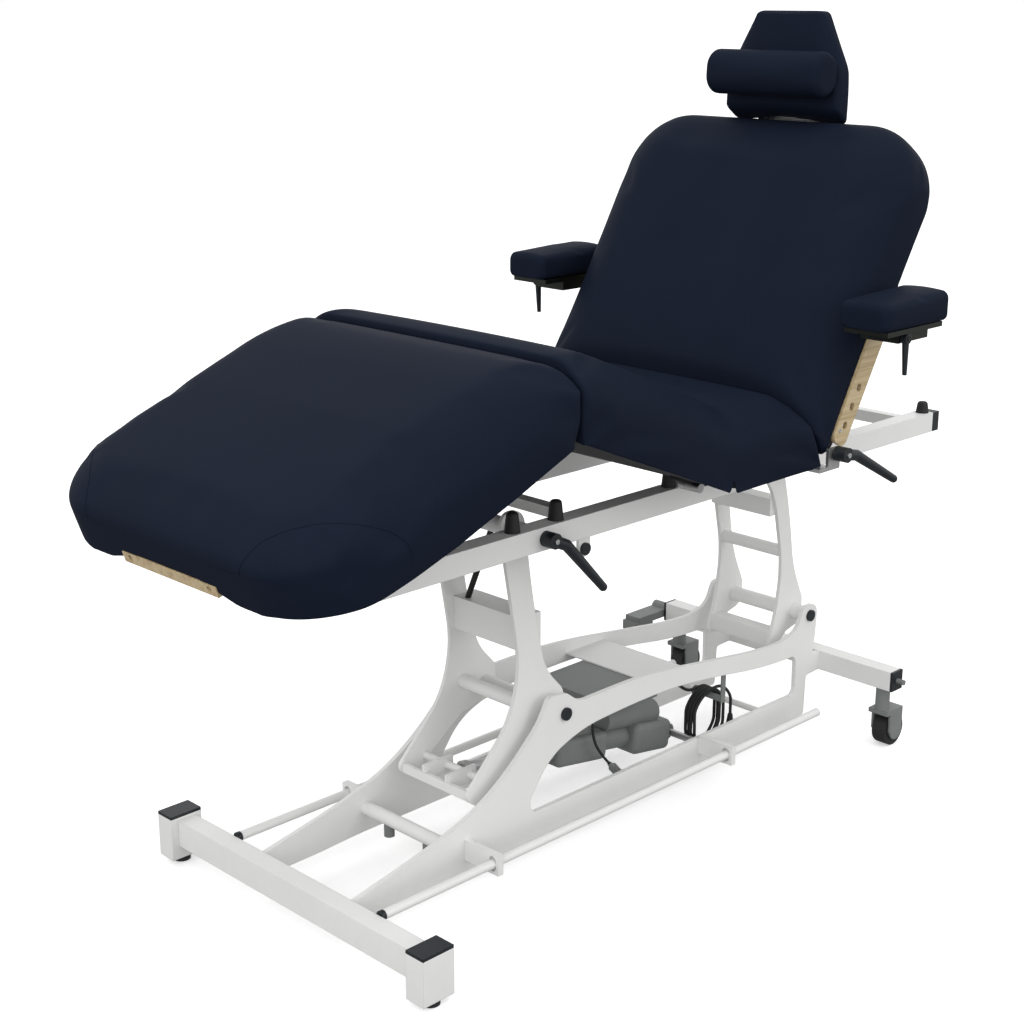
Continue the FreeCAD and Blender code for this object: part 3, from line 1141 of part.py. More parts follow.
def lever_shape(x, y_face, z, root_way, grip_way):
    # A hub on the stud, a thick root beside it, and a slimmer grip bent away from the root.
    hub_start = y_face - dim.side_gap
    hub = Part.makeCylinder(dim.lever_hub_radius, dim.lever_hub_length, Vector(x, hub_start, z),
                            Vector(0, -1, 0))
    root = Vector(x, hub_start - dim.lever_hub_length * 0.58, z)
    root_line = Vector(root_way[0], -0.1, root_way[1]).normalize()
    grip_line = Vector(grip_way[0], -0.2, grip_way[1]).normalize()
    neck_radius = dim.lever_hub_radius * 0.74
    tip_radius = dim.lever_hub_radius * 0.56
    bend = root + root_line * dim.lever_root
    tip = bend + grip_line * dim.lever_length
    wide = Part.makeCone(dim.lever_hub_radius * 0.8, neck_radius, dim.lever_root, root, root_line)
    grip = Part.makeCone(neck_radius, tip_radius, dim.lever_length, bend, grip_line)
    ends = [Part.makeSphere(neck_radius, bend), Part.makeSphere(tip_radius, tip)]
    bore = Part.makeCylinder(dim.stud_radius + dim.running_gap, dim.lever_hub_length + 2,
                             Vector(x, hub_start + 1, z), Vector(0, -1, 0))
    return hub.fuse([wide, grip] + ends).cut(bore).removeSplitter()


knee_face = -(dim.rail_inner_y + dim.rail_width)
knee_lever = lever_shape(dim.knee_lever_x, knee_face, dim.lift_pivot_z + dim.arm_rise, (0.91, -0.42),
                         (0.63, -0.78))
node("knee_lever", solid_feature("KneeLever", knee_lever))
back_lever = lever_shape(dim.back_lever_x, -dim.back_lever_y, dim.back_lever_z, (0.98, -0.19),
                         (0.85, -0.53))
node("back_lever", solid_feature("BackLever", back_lever))


# Cords: a run from the gland to the hank, the hank on its peg, a plug, and a short lead with its own plug.
def tube_on(edges, diameter, start, direction):
    wire = Part.Wire([edge.toShape() for edge in edges])
    ring = Part.Wire([Part.makeCircle(diameter / 2, start, direction)])
    tube = wire.makePipeShell([ring], True, False)
    return wire, tube


def cord_edges(points):
    edges = []
    radii = []
    start = points[0]
    for index in range(1, len(points) - 1):
        here = points[index]
        back = points[index - 1] - here
        ahead = points[index + 1] - here
        half = (math.pi - back.getAngle(ahead)) / 2
        reach = 0.45 * min(back.Length, ahead.Length)
        radius = reach / math.tan(half)
        first = here + Vector(back).normalize() * reach
        last = here + Vector(ahead).normalize() * reach
        way = ((first + last) * 0.5 - here).normalize()
        apex = here + way * (radius / math.cos(half) - radius)
        edges.append(Part.LineSegment(start, first))
        edges.append(Part.Arc(first, apex, last))
        radii.append(round(radius, 1))
        start = last
    edges.append(Part.LineSegment(start, points[-1]))
    return edges, radii


hank_r = dim.hank_radius
hank_top = dim.peg_z + dim.peg_radius + 0.4 + dim.cord_diameter / 2 - hank_r
hank_low = hank_top - dim.hank_straight
step = dim.hank_pitch
turns = int(dim.hank_turns)
hank_edges = []
hank_line = []


def hank_run(first, last):
    hank_edges.append(Part.LineSegment(first, last))
    count = max(2, int((last - first).Length / 2))
    hank_line.extend([first + (last - first) * (index / count) for index in range(count)])


def hank_bend(first, apex_z, last):
    middle = Vector((first.x + last.x) / 2, (first.y + last.y) / 2, apex_z)
    arc = Part.Arc(first, middle, last)
    hank_edges.append(arc)
    hank_line.extend(arc.toShape().discretize(24)[:-1])


right = dim.hank_x + hank_r
left = dim.hank_x - hank_r
span = math.hypot(hank_r, step / 4)
hub_point = Vector(dim.hank_x, dim.hank_y + step / 4, hank_top)
position = Vector(right, dim.hank_y, hank_top)
outward = position - hub_point
crest = hub_point + Vector(0, 0, span)
lead_in = Vector(outward).normalize()
hank_start = crest - lead_in * (dim.cord_diameter * 1.2)
hank_run(hank_start, crest)
quarter = Part.Arc(crest, hub_point + (outward + Vector(0, 0, span)) * math.sqrt(0.5), position)
hank_edges.append(quarter)
hank_line.extend(quarter.toShape().discretize(12)[:-1])
for turn in range(turns):
    low_right = Vector(right, position.y, hank_low)
    hank_run(position, low_right)
    low_left = Vector(left, position.y - step / 2, hank_low)
    hank_bend(low_right, hank_low - span, low_left)
    top_left = Vector(left, low_left.y, hank_top)
    hank_run(low_left, top_left)
    loose = dim.cord_diameter * 2.3 if turn == turns - 1 else 0.0
    position = Vector(right + loose, top_left.y - step / 2, hank_top)
    hank_bend(top_left, hank_top + math.hypot(hank_r + loose / 2, step / 4), position)
hank_end = Vector(position.x, position.y, hank_low)
hank_run(position, hank_end)
hank_wire, hank_shape = tube_on(hank_edges, dim.cord_diameter, hank_start, lead_in)
least = min((first - second).Length for index, first in enumerate(hank_line)
            for second in hank_line[index + 40:]) - dim.cord_diameter
cord_area = math.pi * dim.cord_diameter ** 2 / 4
print("hank self gap %.2f mm over %d turns, length %.0f mm" % (least, turns, hank_wire.Length))
print("hank volume share %.3f" % (hank_shape.Volume / (hank_wire.Length * cord_area)))
node("cord_hank", solid_feature("CordHank", hank_shape))

gland_end = Vector(dim.box_x + dim.box_length + dim.gland_length, -dim.box_width * 0.4,
                   dim.box_bottom_z + 22)
run_points = [gland_end, gland_end + Vector(25, 0, 0), gland_end + Vector(58, 0, -24),
              hank_start - lead_in * 30, hank_start]
run_edges, run_radii = cord_edges(run_points)
run_wire, run_shape = tube_on(run_edges, dim.cord_diameter, gland_end, Vector(1, 0, 0))
print("cord run radii", run_radii, "length %.0f mm" % run_wire.Length)
print("cord run volume share %.3f" % (run_shape.Volume / (run_wire.Length * cord_area)))
node("cord_run", solid_feature("CordRun", run_shape))
plug_base = hank_end
down = Vector(0, 0, -1)
plug_grip = Part.makeCone(dim.cord_diameter * 0.75, dim.cord_diameter * 1.3, 26, plug_base, down)
plug_face = Part.makeCylinder(dim.cord_diameter * 1.5, 12, plug_base + down * 26, down)
blade_shapes = [Part.makeBox(1.6, 6, 15, plug_base + Vector(offset, -3, -53)) for offset in (-6.8, 5.2)]
plug_shape = plug_grip.fuse(plug_face)
for blade in blade_shapes:
    plug_shape = plug_shape.fuse(blade)
node("cord_plug", solid_feature("CordPlug", plug_shape.removeSplitter()))

lead_start = Vector(dim.box_x + 32, -dim.box_width / 2 + 18, dim.box_bottom_z - dim.lead_gland_length)
lead_points = [lead_start, lead_start + Vector(0, 0, -30), lead_start + Vector(12, -10, -68),
               lead_start + Vector(38, -14, -98)]
lead_edges, lead_radii = cord_edges(lead_points)
lead_wire, lead_shape = tube_on(lead_edges, dim.lead_diameter, lead_start, down)
print("lead radii", lead_radii, "length %.0f mm" % lead_wire.Length)
node("plug_lead", solid_feature("PlugLead", lead_shape))
lead_way = (lead_points[-1] - lead_points[-2]).normalize()
lead_boot = Part.makeCone(dim.lead_diameter * 0.75, dim.lead_diameter * 1.2, 14, lead_points[-1], lead_way)
lead_shell = Part.makeCylinder(dim.lead_diameter * 1.6, 30, lead_points[-1] + lead_way * 14, lead_way)
node("lead_plug", solid_feature("LeadPlug", lead_boot.fuse(lead_shell).removeSplitter()))

doc.recompute()
for item in doc.Objects:
    if "Invalid" in item.State or "Error" in item.State:
        raise RuntimeError("%s: %s" % (item.Name, item.State))
for label, item in nodes.items():
    shape = item.Shape
    if shape.isNull() or not shape.isValid() or not shape.Solids:
        raise RuntimeError("%s has no valid solid" % label)
    shape.exportStep("parts/%s.step" % label)
whole = Part.makeCompound([item.Shape for item in nodes.values()]).BoundBox
print("%d nodes, x %.1f %.1f, y %.1f %.1f, z %.1f %.1f" % (
    len(nodes), whole.XMin, whole.XMax, whole.YMin, whole.YMax, whole.ZMin, whole.ZMax))
print("knee %.2f %.2f link pivot %.2f %.2f link end %.2f %.2f" % (
    knee.x, knee.z, link_pivot.x, link_pivot.z, link_rest.x, link_rest.z))
print("actuator %.2f mm" % actuator_length)
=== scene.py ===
import bpy
import json
import math
from mathutils import Vector
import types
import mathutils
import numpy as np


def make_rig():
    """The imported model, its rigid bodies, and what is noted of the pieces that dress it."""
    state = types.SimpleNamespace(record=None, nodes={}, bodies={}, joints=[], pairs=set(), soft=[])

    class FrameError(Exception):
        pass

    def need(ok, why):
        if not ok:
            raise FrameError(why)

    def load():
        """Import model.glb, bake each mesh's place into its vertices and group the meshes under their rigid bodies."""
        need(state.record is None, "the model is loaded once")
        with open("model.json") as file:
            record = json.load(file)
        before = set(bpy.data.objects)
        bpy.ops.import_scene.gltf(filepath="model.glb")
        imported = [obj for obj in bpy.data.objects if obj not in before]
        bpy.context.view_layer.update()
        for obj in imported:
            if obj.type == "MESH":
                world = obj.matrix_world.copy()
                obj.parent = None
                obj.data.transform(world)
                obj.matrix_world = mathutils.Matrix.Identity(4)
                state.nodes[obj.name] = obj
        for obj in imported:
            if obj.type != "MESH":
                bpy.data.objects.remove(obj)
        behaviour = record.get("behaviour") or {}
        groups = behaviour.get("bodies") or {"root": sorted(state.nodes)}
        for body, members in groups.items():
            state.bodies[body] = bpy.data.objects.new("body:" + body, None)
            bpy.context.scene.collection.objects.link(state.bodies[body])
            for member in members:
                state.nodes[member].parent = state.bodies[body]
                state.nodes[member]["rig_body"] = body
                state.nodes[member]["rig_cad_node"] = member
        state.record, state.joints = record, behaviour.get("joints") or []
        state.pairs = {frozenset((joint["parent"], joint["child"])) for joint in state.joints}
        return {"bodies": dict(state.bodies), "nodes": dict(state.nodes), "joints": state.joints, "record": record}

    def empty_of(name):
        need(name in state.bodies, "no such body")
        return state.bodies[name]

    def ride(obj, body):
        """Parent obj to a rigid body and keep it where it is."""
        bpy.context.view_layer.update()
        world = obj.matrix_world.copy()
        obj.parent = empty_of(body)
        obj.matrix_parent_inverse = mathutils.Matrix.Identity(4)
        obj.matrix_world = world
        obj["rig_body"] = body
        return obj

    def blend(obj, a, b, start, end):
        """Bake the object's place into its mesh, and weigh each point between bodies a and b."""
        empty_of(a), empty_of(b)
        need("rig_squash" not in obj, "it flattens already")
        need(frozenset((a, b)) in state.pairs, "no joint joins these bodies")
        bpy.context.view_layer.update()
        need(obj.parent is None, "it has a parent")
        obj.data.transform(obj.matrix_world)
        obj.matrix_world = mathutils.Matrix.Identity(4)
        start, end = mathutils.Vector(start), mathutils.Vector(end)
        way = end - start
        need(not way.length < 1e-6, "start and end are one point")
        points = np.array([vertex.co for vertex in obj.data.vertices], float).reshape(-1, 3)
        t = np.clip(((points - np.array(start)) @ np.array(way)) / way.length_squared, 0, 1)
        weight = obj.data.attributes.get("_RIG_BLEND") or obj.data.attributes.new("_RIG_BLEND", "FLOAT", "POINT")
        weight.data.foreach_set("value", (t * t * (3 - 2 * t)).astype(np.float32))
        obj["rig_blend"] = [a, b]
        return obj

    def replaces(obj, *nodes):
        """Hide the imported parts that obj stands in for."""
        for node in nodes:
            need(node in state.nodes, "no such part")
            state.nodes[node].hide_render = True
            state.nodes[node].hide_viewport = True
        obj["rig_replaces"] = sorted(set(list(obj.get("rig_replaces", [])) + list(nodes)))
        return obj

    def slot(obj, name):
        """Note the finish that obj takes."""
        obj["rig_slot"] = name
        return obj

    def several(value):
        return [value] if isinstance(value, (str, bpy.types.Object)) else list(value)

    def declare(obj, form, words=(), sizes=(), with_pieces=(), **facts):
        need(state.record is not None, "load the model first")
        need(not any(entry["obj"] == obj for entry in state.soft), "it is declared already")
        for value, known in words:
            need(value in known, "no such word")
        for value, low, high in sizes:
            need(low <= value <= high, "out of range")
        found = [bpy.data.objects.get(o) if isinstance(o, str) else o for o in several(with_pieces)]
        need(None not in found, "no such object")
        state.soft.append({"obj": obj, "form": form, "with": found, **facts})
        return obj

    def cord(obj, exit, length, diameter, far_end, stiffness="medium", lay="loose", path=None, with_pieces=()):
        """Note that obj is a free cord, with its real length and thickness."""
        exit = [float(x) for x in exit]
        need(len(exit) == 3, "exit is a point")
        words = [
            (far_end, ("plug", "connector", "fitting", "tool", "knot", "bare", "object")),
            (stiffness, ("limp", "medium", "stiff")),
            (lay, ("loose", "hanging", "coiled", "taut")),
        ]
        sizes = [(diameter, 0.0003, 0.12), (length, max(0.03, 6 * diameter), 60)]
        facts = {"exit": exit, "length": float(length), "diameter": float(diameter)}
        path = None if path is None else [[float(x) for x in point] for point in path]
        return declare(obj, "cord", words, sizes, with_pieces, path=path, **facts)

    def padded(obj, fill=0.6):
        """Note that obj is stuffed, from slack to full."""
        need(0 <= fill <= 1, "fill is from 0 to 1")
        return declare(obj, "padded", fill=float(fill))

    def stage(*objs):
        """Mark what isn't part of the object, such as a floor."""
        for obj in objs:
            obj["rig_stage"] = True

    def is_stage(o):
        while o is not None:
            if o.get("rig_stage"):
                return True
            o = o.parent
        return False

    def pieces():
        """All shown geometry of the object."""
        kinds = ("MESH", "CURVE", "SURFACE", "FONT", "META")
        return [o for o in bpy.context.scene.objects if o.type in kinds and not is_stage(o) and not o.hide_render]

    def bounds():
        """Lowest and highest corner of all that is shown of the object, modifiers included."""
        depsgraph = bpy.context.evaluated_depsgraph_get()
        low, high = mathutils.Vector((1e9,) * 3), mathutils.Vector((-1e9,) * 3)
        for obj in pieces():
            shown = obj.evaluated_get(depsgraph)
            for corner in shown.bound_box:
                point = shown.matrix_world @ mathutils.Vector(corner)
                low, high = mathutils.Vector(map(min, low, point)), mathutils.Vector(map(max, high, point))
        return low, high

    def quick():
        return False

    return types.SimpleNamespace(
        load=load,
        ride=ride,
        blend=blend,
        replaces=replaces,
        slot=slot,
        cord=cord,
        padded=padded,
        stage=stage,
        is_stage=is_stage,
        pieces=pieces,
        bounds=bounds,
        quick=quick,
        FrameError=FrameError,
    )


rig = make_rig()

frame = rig.load()
cadBox = [list(corner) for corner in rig.bounds()]
nodes = frame["nodes"]
scene = bpy.context.scene
print("frame loaded:", len(nodes), "nodes")


# small helpers for picking and shaping
def dropPick():
    if bpy.context.object and bpy.context.object.mode != "OBJECT":
        bpy.ops.object.mode_set(mode="OBJECT")
    bpy.ops.object.select_all(action="DESELECT")


def pick(piece):
    dropPick()
    bpy.context.view_layer.objects.active = piece
    piece.select_set(True)
    return piece


def settle(piece):
    pick(piece)
    bpy.ops.object.transform_apply(location=True, rotation=True, scale=True)
    return piece


def applyAll(piece):
    pick(piece)
    for modifier in list(piece.modifiers):
        bpy.ops.object.modifier_apply(modifier=modifier.name)
    return piece


def smooth(piece, angle=32):
    pick(piece)
    bpy.ops.object.shade_smooth_by_angle(angle=math.radians(angle))
    return piece


def ease(value):
    value = min(1.0, max(0.0, value))
    return value * value * (3 - 2 * value)


def aim(piece, gaze):
    piece.rotation_euler = gaze.to_track_quat("-Z", "Y").to_euler()


def tube(name, kind, points, radius, facets):
    # a round curve through the points, not yet a mesh
    curve = bpy.data.curves.new(name, "CURVE")
    curve.dimensions = "3D"
    curve.bevel_depth = radius
    curve.bevel_resolution = facets
    curve.use_fill_caps = True
    spline = curve.splines.new(kind)
    spline.points.add(len(points) - 1)
    for place, spot in zip(spline.points, points):
        place.co = (*spot, 1)
    piece = bpy.data.objects.new(name, curve)
    scene.collection.objects.link(piece)
    return piece


# shader sums are written as plain expressions on wires
class Wire:
    def __init__(self, finish, socket):
        self.finish = finish
        self.socket = socket

    def join(self, operation, other, turned=False):
        first, second = (other, self) if turned else (self, other)
        return self.finish.node("ShaderNodeMath", {"operation": operation}, {0: first, 1: second})

    def __add__(self, other):
        return self.join("ADD", other)

    def __sub__(self, other):
        return self.join("SUBTRACT", other)

    def __rsub__(self, other):
        return self.join("SUBTRACT", other, True)

    def __mul__(self, other):
        return self.join("MULTIPLY", other)

    def __truediv__(self, other):
        return self.join("DIVIDE", other)

    def __rtruediv__(self, other):
        return self.join("DIVIDE", other, True)

    def __pow__(self, other):
        return self.join("POWER", other)

    __radd__ = __add__
    __rmul__ = __mul__


class Finish:
    def __init__(self, name, sky=False):
        self.material = bpy.data.worlds.new(name) if sky else bpy.data.materials.new(name)
        self.material.use_nodes = True
        self.tree = self.material.node_tree
        self.tree.nodes.clear()
        self.place = self.node("ShaderNodeTexCoord", out="Generated" if sky else "Object")

    def node(self, kind, settings=None, sockets=None, out=0):
        made = self.tree.nodes.new(kind)
        for key, value in (settings or {}).items():
            if key == "stops":
                while len(made.color_ramp.elements) < len(value):
                    made.color_ramp.elements.new(0.5)
                for element, (position, colour) in zip(made.color_ramp.elements, value):
                    element.position = position
                    element.color = (*colour, 1)
            else:
                setattr(made, key, value)
        for key, value in (sockets or {}).items():
            if isinstance(value, Wire):
                self.tree.links.new(value.socket, made.inputs[key])
            else:
                made.inputs[key].default_value = value
        return Wire(self, made.outputs[out]) if len(made.outputs) else None

    def noise(self, scale, detail=3.0, rough=0.55, place=None):
        return self.node("ShaderNodeTexNoise", None, {
            "Vector": place or self.place, "Scale": scale, "Detail": detail, "Roughness": rough})

    def cells(self, scale, feature, place):
        return self.node("ShaderNodeTexVoronoi", {"feature": feature},
                         {"Vector": place, "Scale": scale}, "Distance")

    def stretched(self, scale, turn=(0, 0, 0)):
        return self.node("ShaderNodeMapping", None,
                         {"Vector": self.place, "Rotation": turn, "Scale": scale})

    def blend(self, share, low, high):
        return self.node("ShaderNodeMix", {"data_type": "RGBA"}, {0: share, 6: low, 7: high}, 2)

    def along(self, letter):
        return self.node("ShaderNodeSeparateXYZ", None, {0: self.place}, letter)

    def softEdge(self, radius):
        return self.node("ShaderNodeBevel", {"samples": 4}, {"Radius": radius})

    def bump(self, relief, strength, distance, edge=None):
        sockets = {"Strength": strength, "Distance": distance, "Height": relief}
        if edge:
            sockets["Normal"] = edge
        return self.node("ShaderNodeBump", None, sockets)

    def close(self, **sockets):
        named = {key.replace("_", " "): value for key, value in sockets.items()}
        shader = self.node("ShaderNodeBsdfPrincipled", None, named, "BSDF")
        self.node("ShaderNodeOutputMaterial", None, {"Surface": shader})
        return self.material


# camera
view = {"spot": (-2.480, -2.308, 1.637), "lens": 61.35, "sensor": 36, "yaw": 45.27, "pitch": 16.51,
        "furthest": 1000}


def addCamera():
    dropPick()
    bpy.ops.object.camera_add(location=view["spot"])
    camera = bpy.context.object
    camera.name = "tableCamera"
    yaw, pitch = math.radians(view["yaw"]), math.radians(view["pitch"])
    level = math.cos(pitch)
    aim(camera, Vector((math.cos(yaw) * level, math.sin(yaw) * level, -math.sin(pitch))))
    camera.data.lens = view["lens"]
    camera.data.sensor_width = view["sensor"]
    camera.data.clip_end = view["furthest"]
    scene.camera = camera


addCamera()
print("camera set")


# finishes
def navyVinylFinish():
    finish = Finish("navyVinyl")
    drift = finish.noise(scale=5, detail=4)
    jitter = finish.node("ShaderNodeTexNoise", None,
                         {"Vector": finish.place, "Scale": 300.0, "Detail": 2.0}, "Color")
    warped = finish.node("ShaderNodeMix", {"data_type": "VECTOR"},
                         {0: 0.0012, 4: finish.place, 5: jitter}, 1)
    grain = finish.cells(scale=820, feature="SMOOTH_F1", place=warped)
    pores = finish.noise(scale=1500, detail=2)
    relief = grain * 0.7 + pores * 0.35
    colour = finish.blend(drift, (0.0070, 0.0102, 0.0205, 1), (0.0098, 0.0140, 0.0270, 1))
    return finish.close(Base_Color=colour, Roughness=drift * 0.10 + grain * 0.06 + 0.48,
                        Specular_IOR_Level=0.025,
                        Normal=finish.bump(relief, strength=0.16, distance=0.0006))


def whitePaintFinish():
    # the paint turns a darker grey in patches close to the floor
    finish = Finish("whitePaint")
    darkeningTop = 0.14
    drift = finish.noise(scale=6, detail=3)
    peel = finish.noise(scale=420, detail=2)
    low = finish.node("ShaderNodeMapRange", None,
                      {0: finish.along("Z"), 1: 0.0, 2: darkeningTop, 3: 1.0, 4: 0.0})
    # darker grey patches near the floor, fading out upward
    lowDarkening = low * finish.noise(scale=38, detail=4) * 0.35
    plainPaint = finish.blend(drift, (0.80, 0.80, 0.79, 1), (0.86, 0.86, 0.85, 1))
    colour = finish.blend(lowDarkening, plainPaint, (0.52, 0.51, 0.49, 1))
    return finish.close(Base_Color=colour, Roughness=drift * 0.08 + peel * 0.05 + 0.34,
                        Specular_IOR_Level=0.5,
                        Normal=finish.bump(peel, strength=0.10, distance=0.0004,
                                           edge=finish.softEdge(0.0022)))


def mouldedFinish(name, dark, light, rough, edge=0.0015):
    finish = Finish(name)
    drift = finish.noise(scale=14, detail=3)
    spark = finish.noise(scale=1300, detail=2)
    colour = finish.blend(drift, (*dark, 1), (*light, 1))
    return finish.close(Base_Color=colour, Roughness=drift * 0.10 + spark * 0.08 + rough,
                        Specular_IOR_Level=0.45,
                        Normal=finish.bump(spark, strength=0.22, distance=0.0003,
                                           edge=finish.softEdge(edge)))


def steelFinish(name, dark, light, rough):
    finish = Finish(name)
    lines = finish.noise(scale=60, detail=3, rough=0.6, place=finish.stretched((2.0, 40.0, 2.0)))
    drift = finish.noise(scale=9, detail=3)
    colour = finish.blend(lines * 0.6 + drift * 0.4, (*dark, 1), (*light, 1))
    return finish.close(Base_Color=colour, Metallic=1.0,
                        Roughness=lines * 0.16 + drift * 0.06 + rough,
                        Normal=finish.bump(lines, strength=0.10, distance=0.0003,
                                           edge=finish.softEdge(0.001)))


knuckles = {"axes": ((0.019, 0.738), (0.317, 0.738), (-0.4001, 0.9099)), "radius": 0.0112}


def dustCoverFinish():
    # black backing cloth, with bare zinc where the hinge knuckles stand round their axes
    finish = Finish("dustCover")
    weft = finish.noise(scale=700, detail=2, rough=0.6, place=finish.stretched((0.25, 1.0, 1.0)))
    warp = finish.noise(scale=700, detail=2, rough=0.6, place=finish.stretched((1.0, 0.25, 1.0)))
    cloth = finish.blend(weft * 0.5 + warp * 0.5, (0.008, 0.008, 0.010, 1), (0.022, 0.022, 0.026, 1))
    zinc = finish.blend(weft, (0.40, 0.40, 0.41, 1), (0.58, 0.58, 0.57, 1))
    east = finish.along("X")
    up = finish.along("Z")
    bare = None
    for x, z in knuckles["axes"]:
        apart = (east - x) * (east - x) + (up - z) * (up - z)
        ring = apart.join("LESS_THAN", knuckles["radius"] ** 2)
        bare = ring if bare is None else bare + ring
    return finish.close(Base_Color=finish.blend(bare, cloth, zinc), Metallic=bare,
                        Roughness=weft * 0.12 + 0.76 - bare * 0.45,
                        Normal=finish.bump(weft + warp, strength=0.25, distance=0.0005))


def mapleFinish(name, turn):
    finish = Finish(name)
    along = finish.stretched((3.0, 60.0, 60.0), turn)
    rings = finish.noise(scale=1.6, detail=4, rough=0.62, place=along)
    fleck = finish.noise(scale=9, detail=3, rough=0.7, place=along)
    bands = finish.node("ShaderNodeValToRGB", {"stops": [
        (0.30, (0.40, 0.29, 0.15)), (0.50, (0.60, 0.47, 0.27)), (0.66, (0.68, 0.55, 0.34)),
        (0.80, (0.52, 0.39, 0.21))]}, {0: rings})
    colour = finish.blend(fleck * 0.35, bands, (0.36, 0.25, 0.13, 1))
    return finish.close(Base_Color=colour, Roughness=rings * 0.15 + 0.34,
                        Coat_Weight=0.25, Coat_Roughness=0.2,
                        Normal=finish.bump(rings + fleck * 0.5, strength=0.12, distance=0.0005,
                                           edge=finish.softEdge(0.0012)))


finishes = {
    "navy_vinyl": navyVinylFinish(),
    "white_paint": whitePaintFinish(),
    "black_plastic": mouldedFinish("blackPlastic", dark=(0.0040, 0.0070, 0.0105),
                                   light=(0.0075, 0.0115, 0.0160), rough=0.36),
    "black_rubber": mouldedFinish("blackRubber", dark=(0.008, 0.008, 0.009),
                                  light=(0.016, 0.016, 0.017), rough=0.55),
    "grey_plastic": mouldedFinish("greyPlastic", dark=(0.150, 0.162, 0.158),
                                  light=(0.225, 0.238, 0.232), rough=0.40, edge=0.003),
    "steel": steelFinish("zincSteel", dark=(0.42, 0.42, 0.43), light=(0.66, 0.66, 0.65), rough=0.28),
    "dark_steel": steelFinish("darkSteel", dark=(0.030, 0.034, 0.030),
                              light=(0.060, 0.064, 0.058), rough=0.34),
    "deck_board": dustCoverFinish(),
    "maple": mapleFinish("mapleBack", (0, math.radians(59.6), 0)),
}
mapleFoot = mapleFinish("mapleFoot", (0, 0, math.radians(90)))
slotOf = {part["node"]: part["material_slot"] for part in frame["record"]["subparts"]}


def wear(piece, slot):
    piece.data.materials.clear()
    piece.data.materials.append(finishes[slot])
    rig.slot(piece, slot)
    return piece


def paint(piece, finish):
    for place in piece.material_slots:
        place.material = finish


for name, piece in nodes.items():
    paint(piece, finishes[slotOf[name]])
paint(nodes["foot_strip"], mapleFoot)
print("finishes made:", len(bpy.data.materials))


# cords
mains = {"thick": 0.007, "length": 1.764, "turns": 4, "pitch": 0.0082, "radius": 0.052,
         "middle": 0.330, "upper": 0.1239, "lower": 0.1019, "firstY": -0.060,
         "end": (0.3981, -0.0928, 0.1019), "loose": 0.0161, "straight": 0.005, "lastStraight": 0.004,
         "drift": (0.3, 0.7, 1.3), "sag": (0.0, 0.0035, -0.0015, 0.0025),
         "lean": (0.0, 0.0015, -0.0020, 0.0010)}
mainsRun = [(0.194, -0.060, 0.228), (0.219, -0.060, 0.228), (0.252, -0.060, 0.204),
            (0.29163, -0.05644, 0.17594), (0.32161, -0.05762, 0.17594)]
leadRun = [(-0.016, -0.057, 0.194), (-0.016, -0.057, 0.164), (-0.004, -0.067, 0.126),
           (0.022, -0.071, 0.096)]


def layCord(name, points, thick):
    cord = tube(name, "NURBS", points, thick / 2, facets=3)
    spline = cord.data.splines[0]
    spline.order_u = 3
    spline.use_endpoint_u = True
    spline.resolution_u = 5
    cord.data.materials.append(finishes["black_rubber"])
    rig.slot(cord, "black_rubber")
    return cord


def hankPoints():
    # each turn runs down the right leg, round the bottom, up the left leg and over the peg
    points = []
    size, upper, half = mains["radius"], mains["upper"], mains["pitch"] / 2
    peg, straight = mains["middle"], mains["straight"]
    early, late, over = (half * share for share in mains["drift"])
    eighth = math.tan(math.radians(22.5))
    corner = size * eighth
    for turn in range(mains["turns"]):
        right = mains["firstY"] - mains["pitch"] * turn
        left = right - half
        middle = peg + mains["lean"][turn]
        low = mains["lower"] - mains["sag"][turn]
        points += [
            (peg + corner, right + early, upper + size), (peg + size, right, upper + corner),
            (middle + size, right, upper - straight), (middle + size, right, low + straight),
            (middle + size, right, low - corner), (middle + corner, right - early, low - size),
            (middle - corner, right - late, low - size), (middle - size, left, low - corner),
            (middle - size, left, low + straight), (peg - size, left, upper - straight),
            (peg - size, left, upper + corner), (peg - corner, right - over, upper + size)]
    wide = size + mains["loose"] / 2
    middle = peg + mains["loose"] / 2
    bend = wide * eighth
    last = mains["end"][1]
    points += [(middle + bend, last + early, upper + wide), (middle + wide, last, upper + bend),
               (middle + wide, last, upper - mains["lastStraight"]), mains["end"]]
    return points


mainsCord = layCord("mainsCord", mainsRun + hankPoints(), mains["thick"])
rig.ride(mainsCord, "base")
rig.replaces(mainsCord, "cord_run", "cord_hank")
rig.cord(mainsCord, exit=mainsRun[0], length=mains["length"], diameter=mains["thick"], far_end="plug",
        stiffness="medium", lay="coiled", with_pieces=[nodes["cord_plug"]])
shortLead = layCord("shortLead", leadRun, 0.006)
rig.ride(shortLead, "base")
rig.replaces(shortLead, "plug_lead")
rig.cord(shortLead, exit=leadRun[0], length=0.110, diameter=0.006, far_end="connector", stiffness="medium",
        lay="hanging", with_pieces=[nodes["lead_plug"]])
print("cords laid")


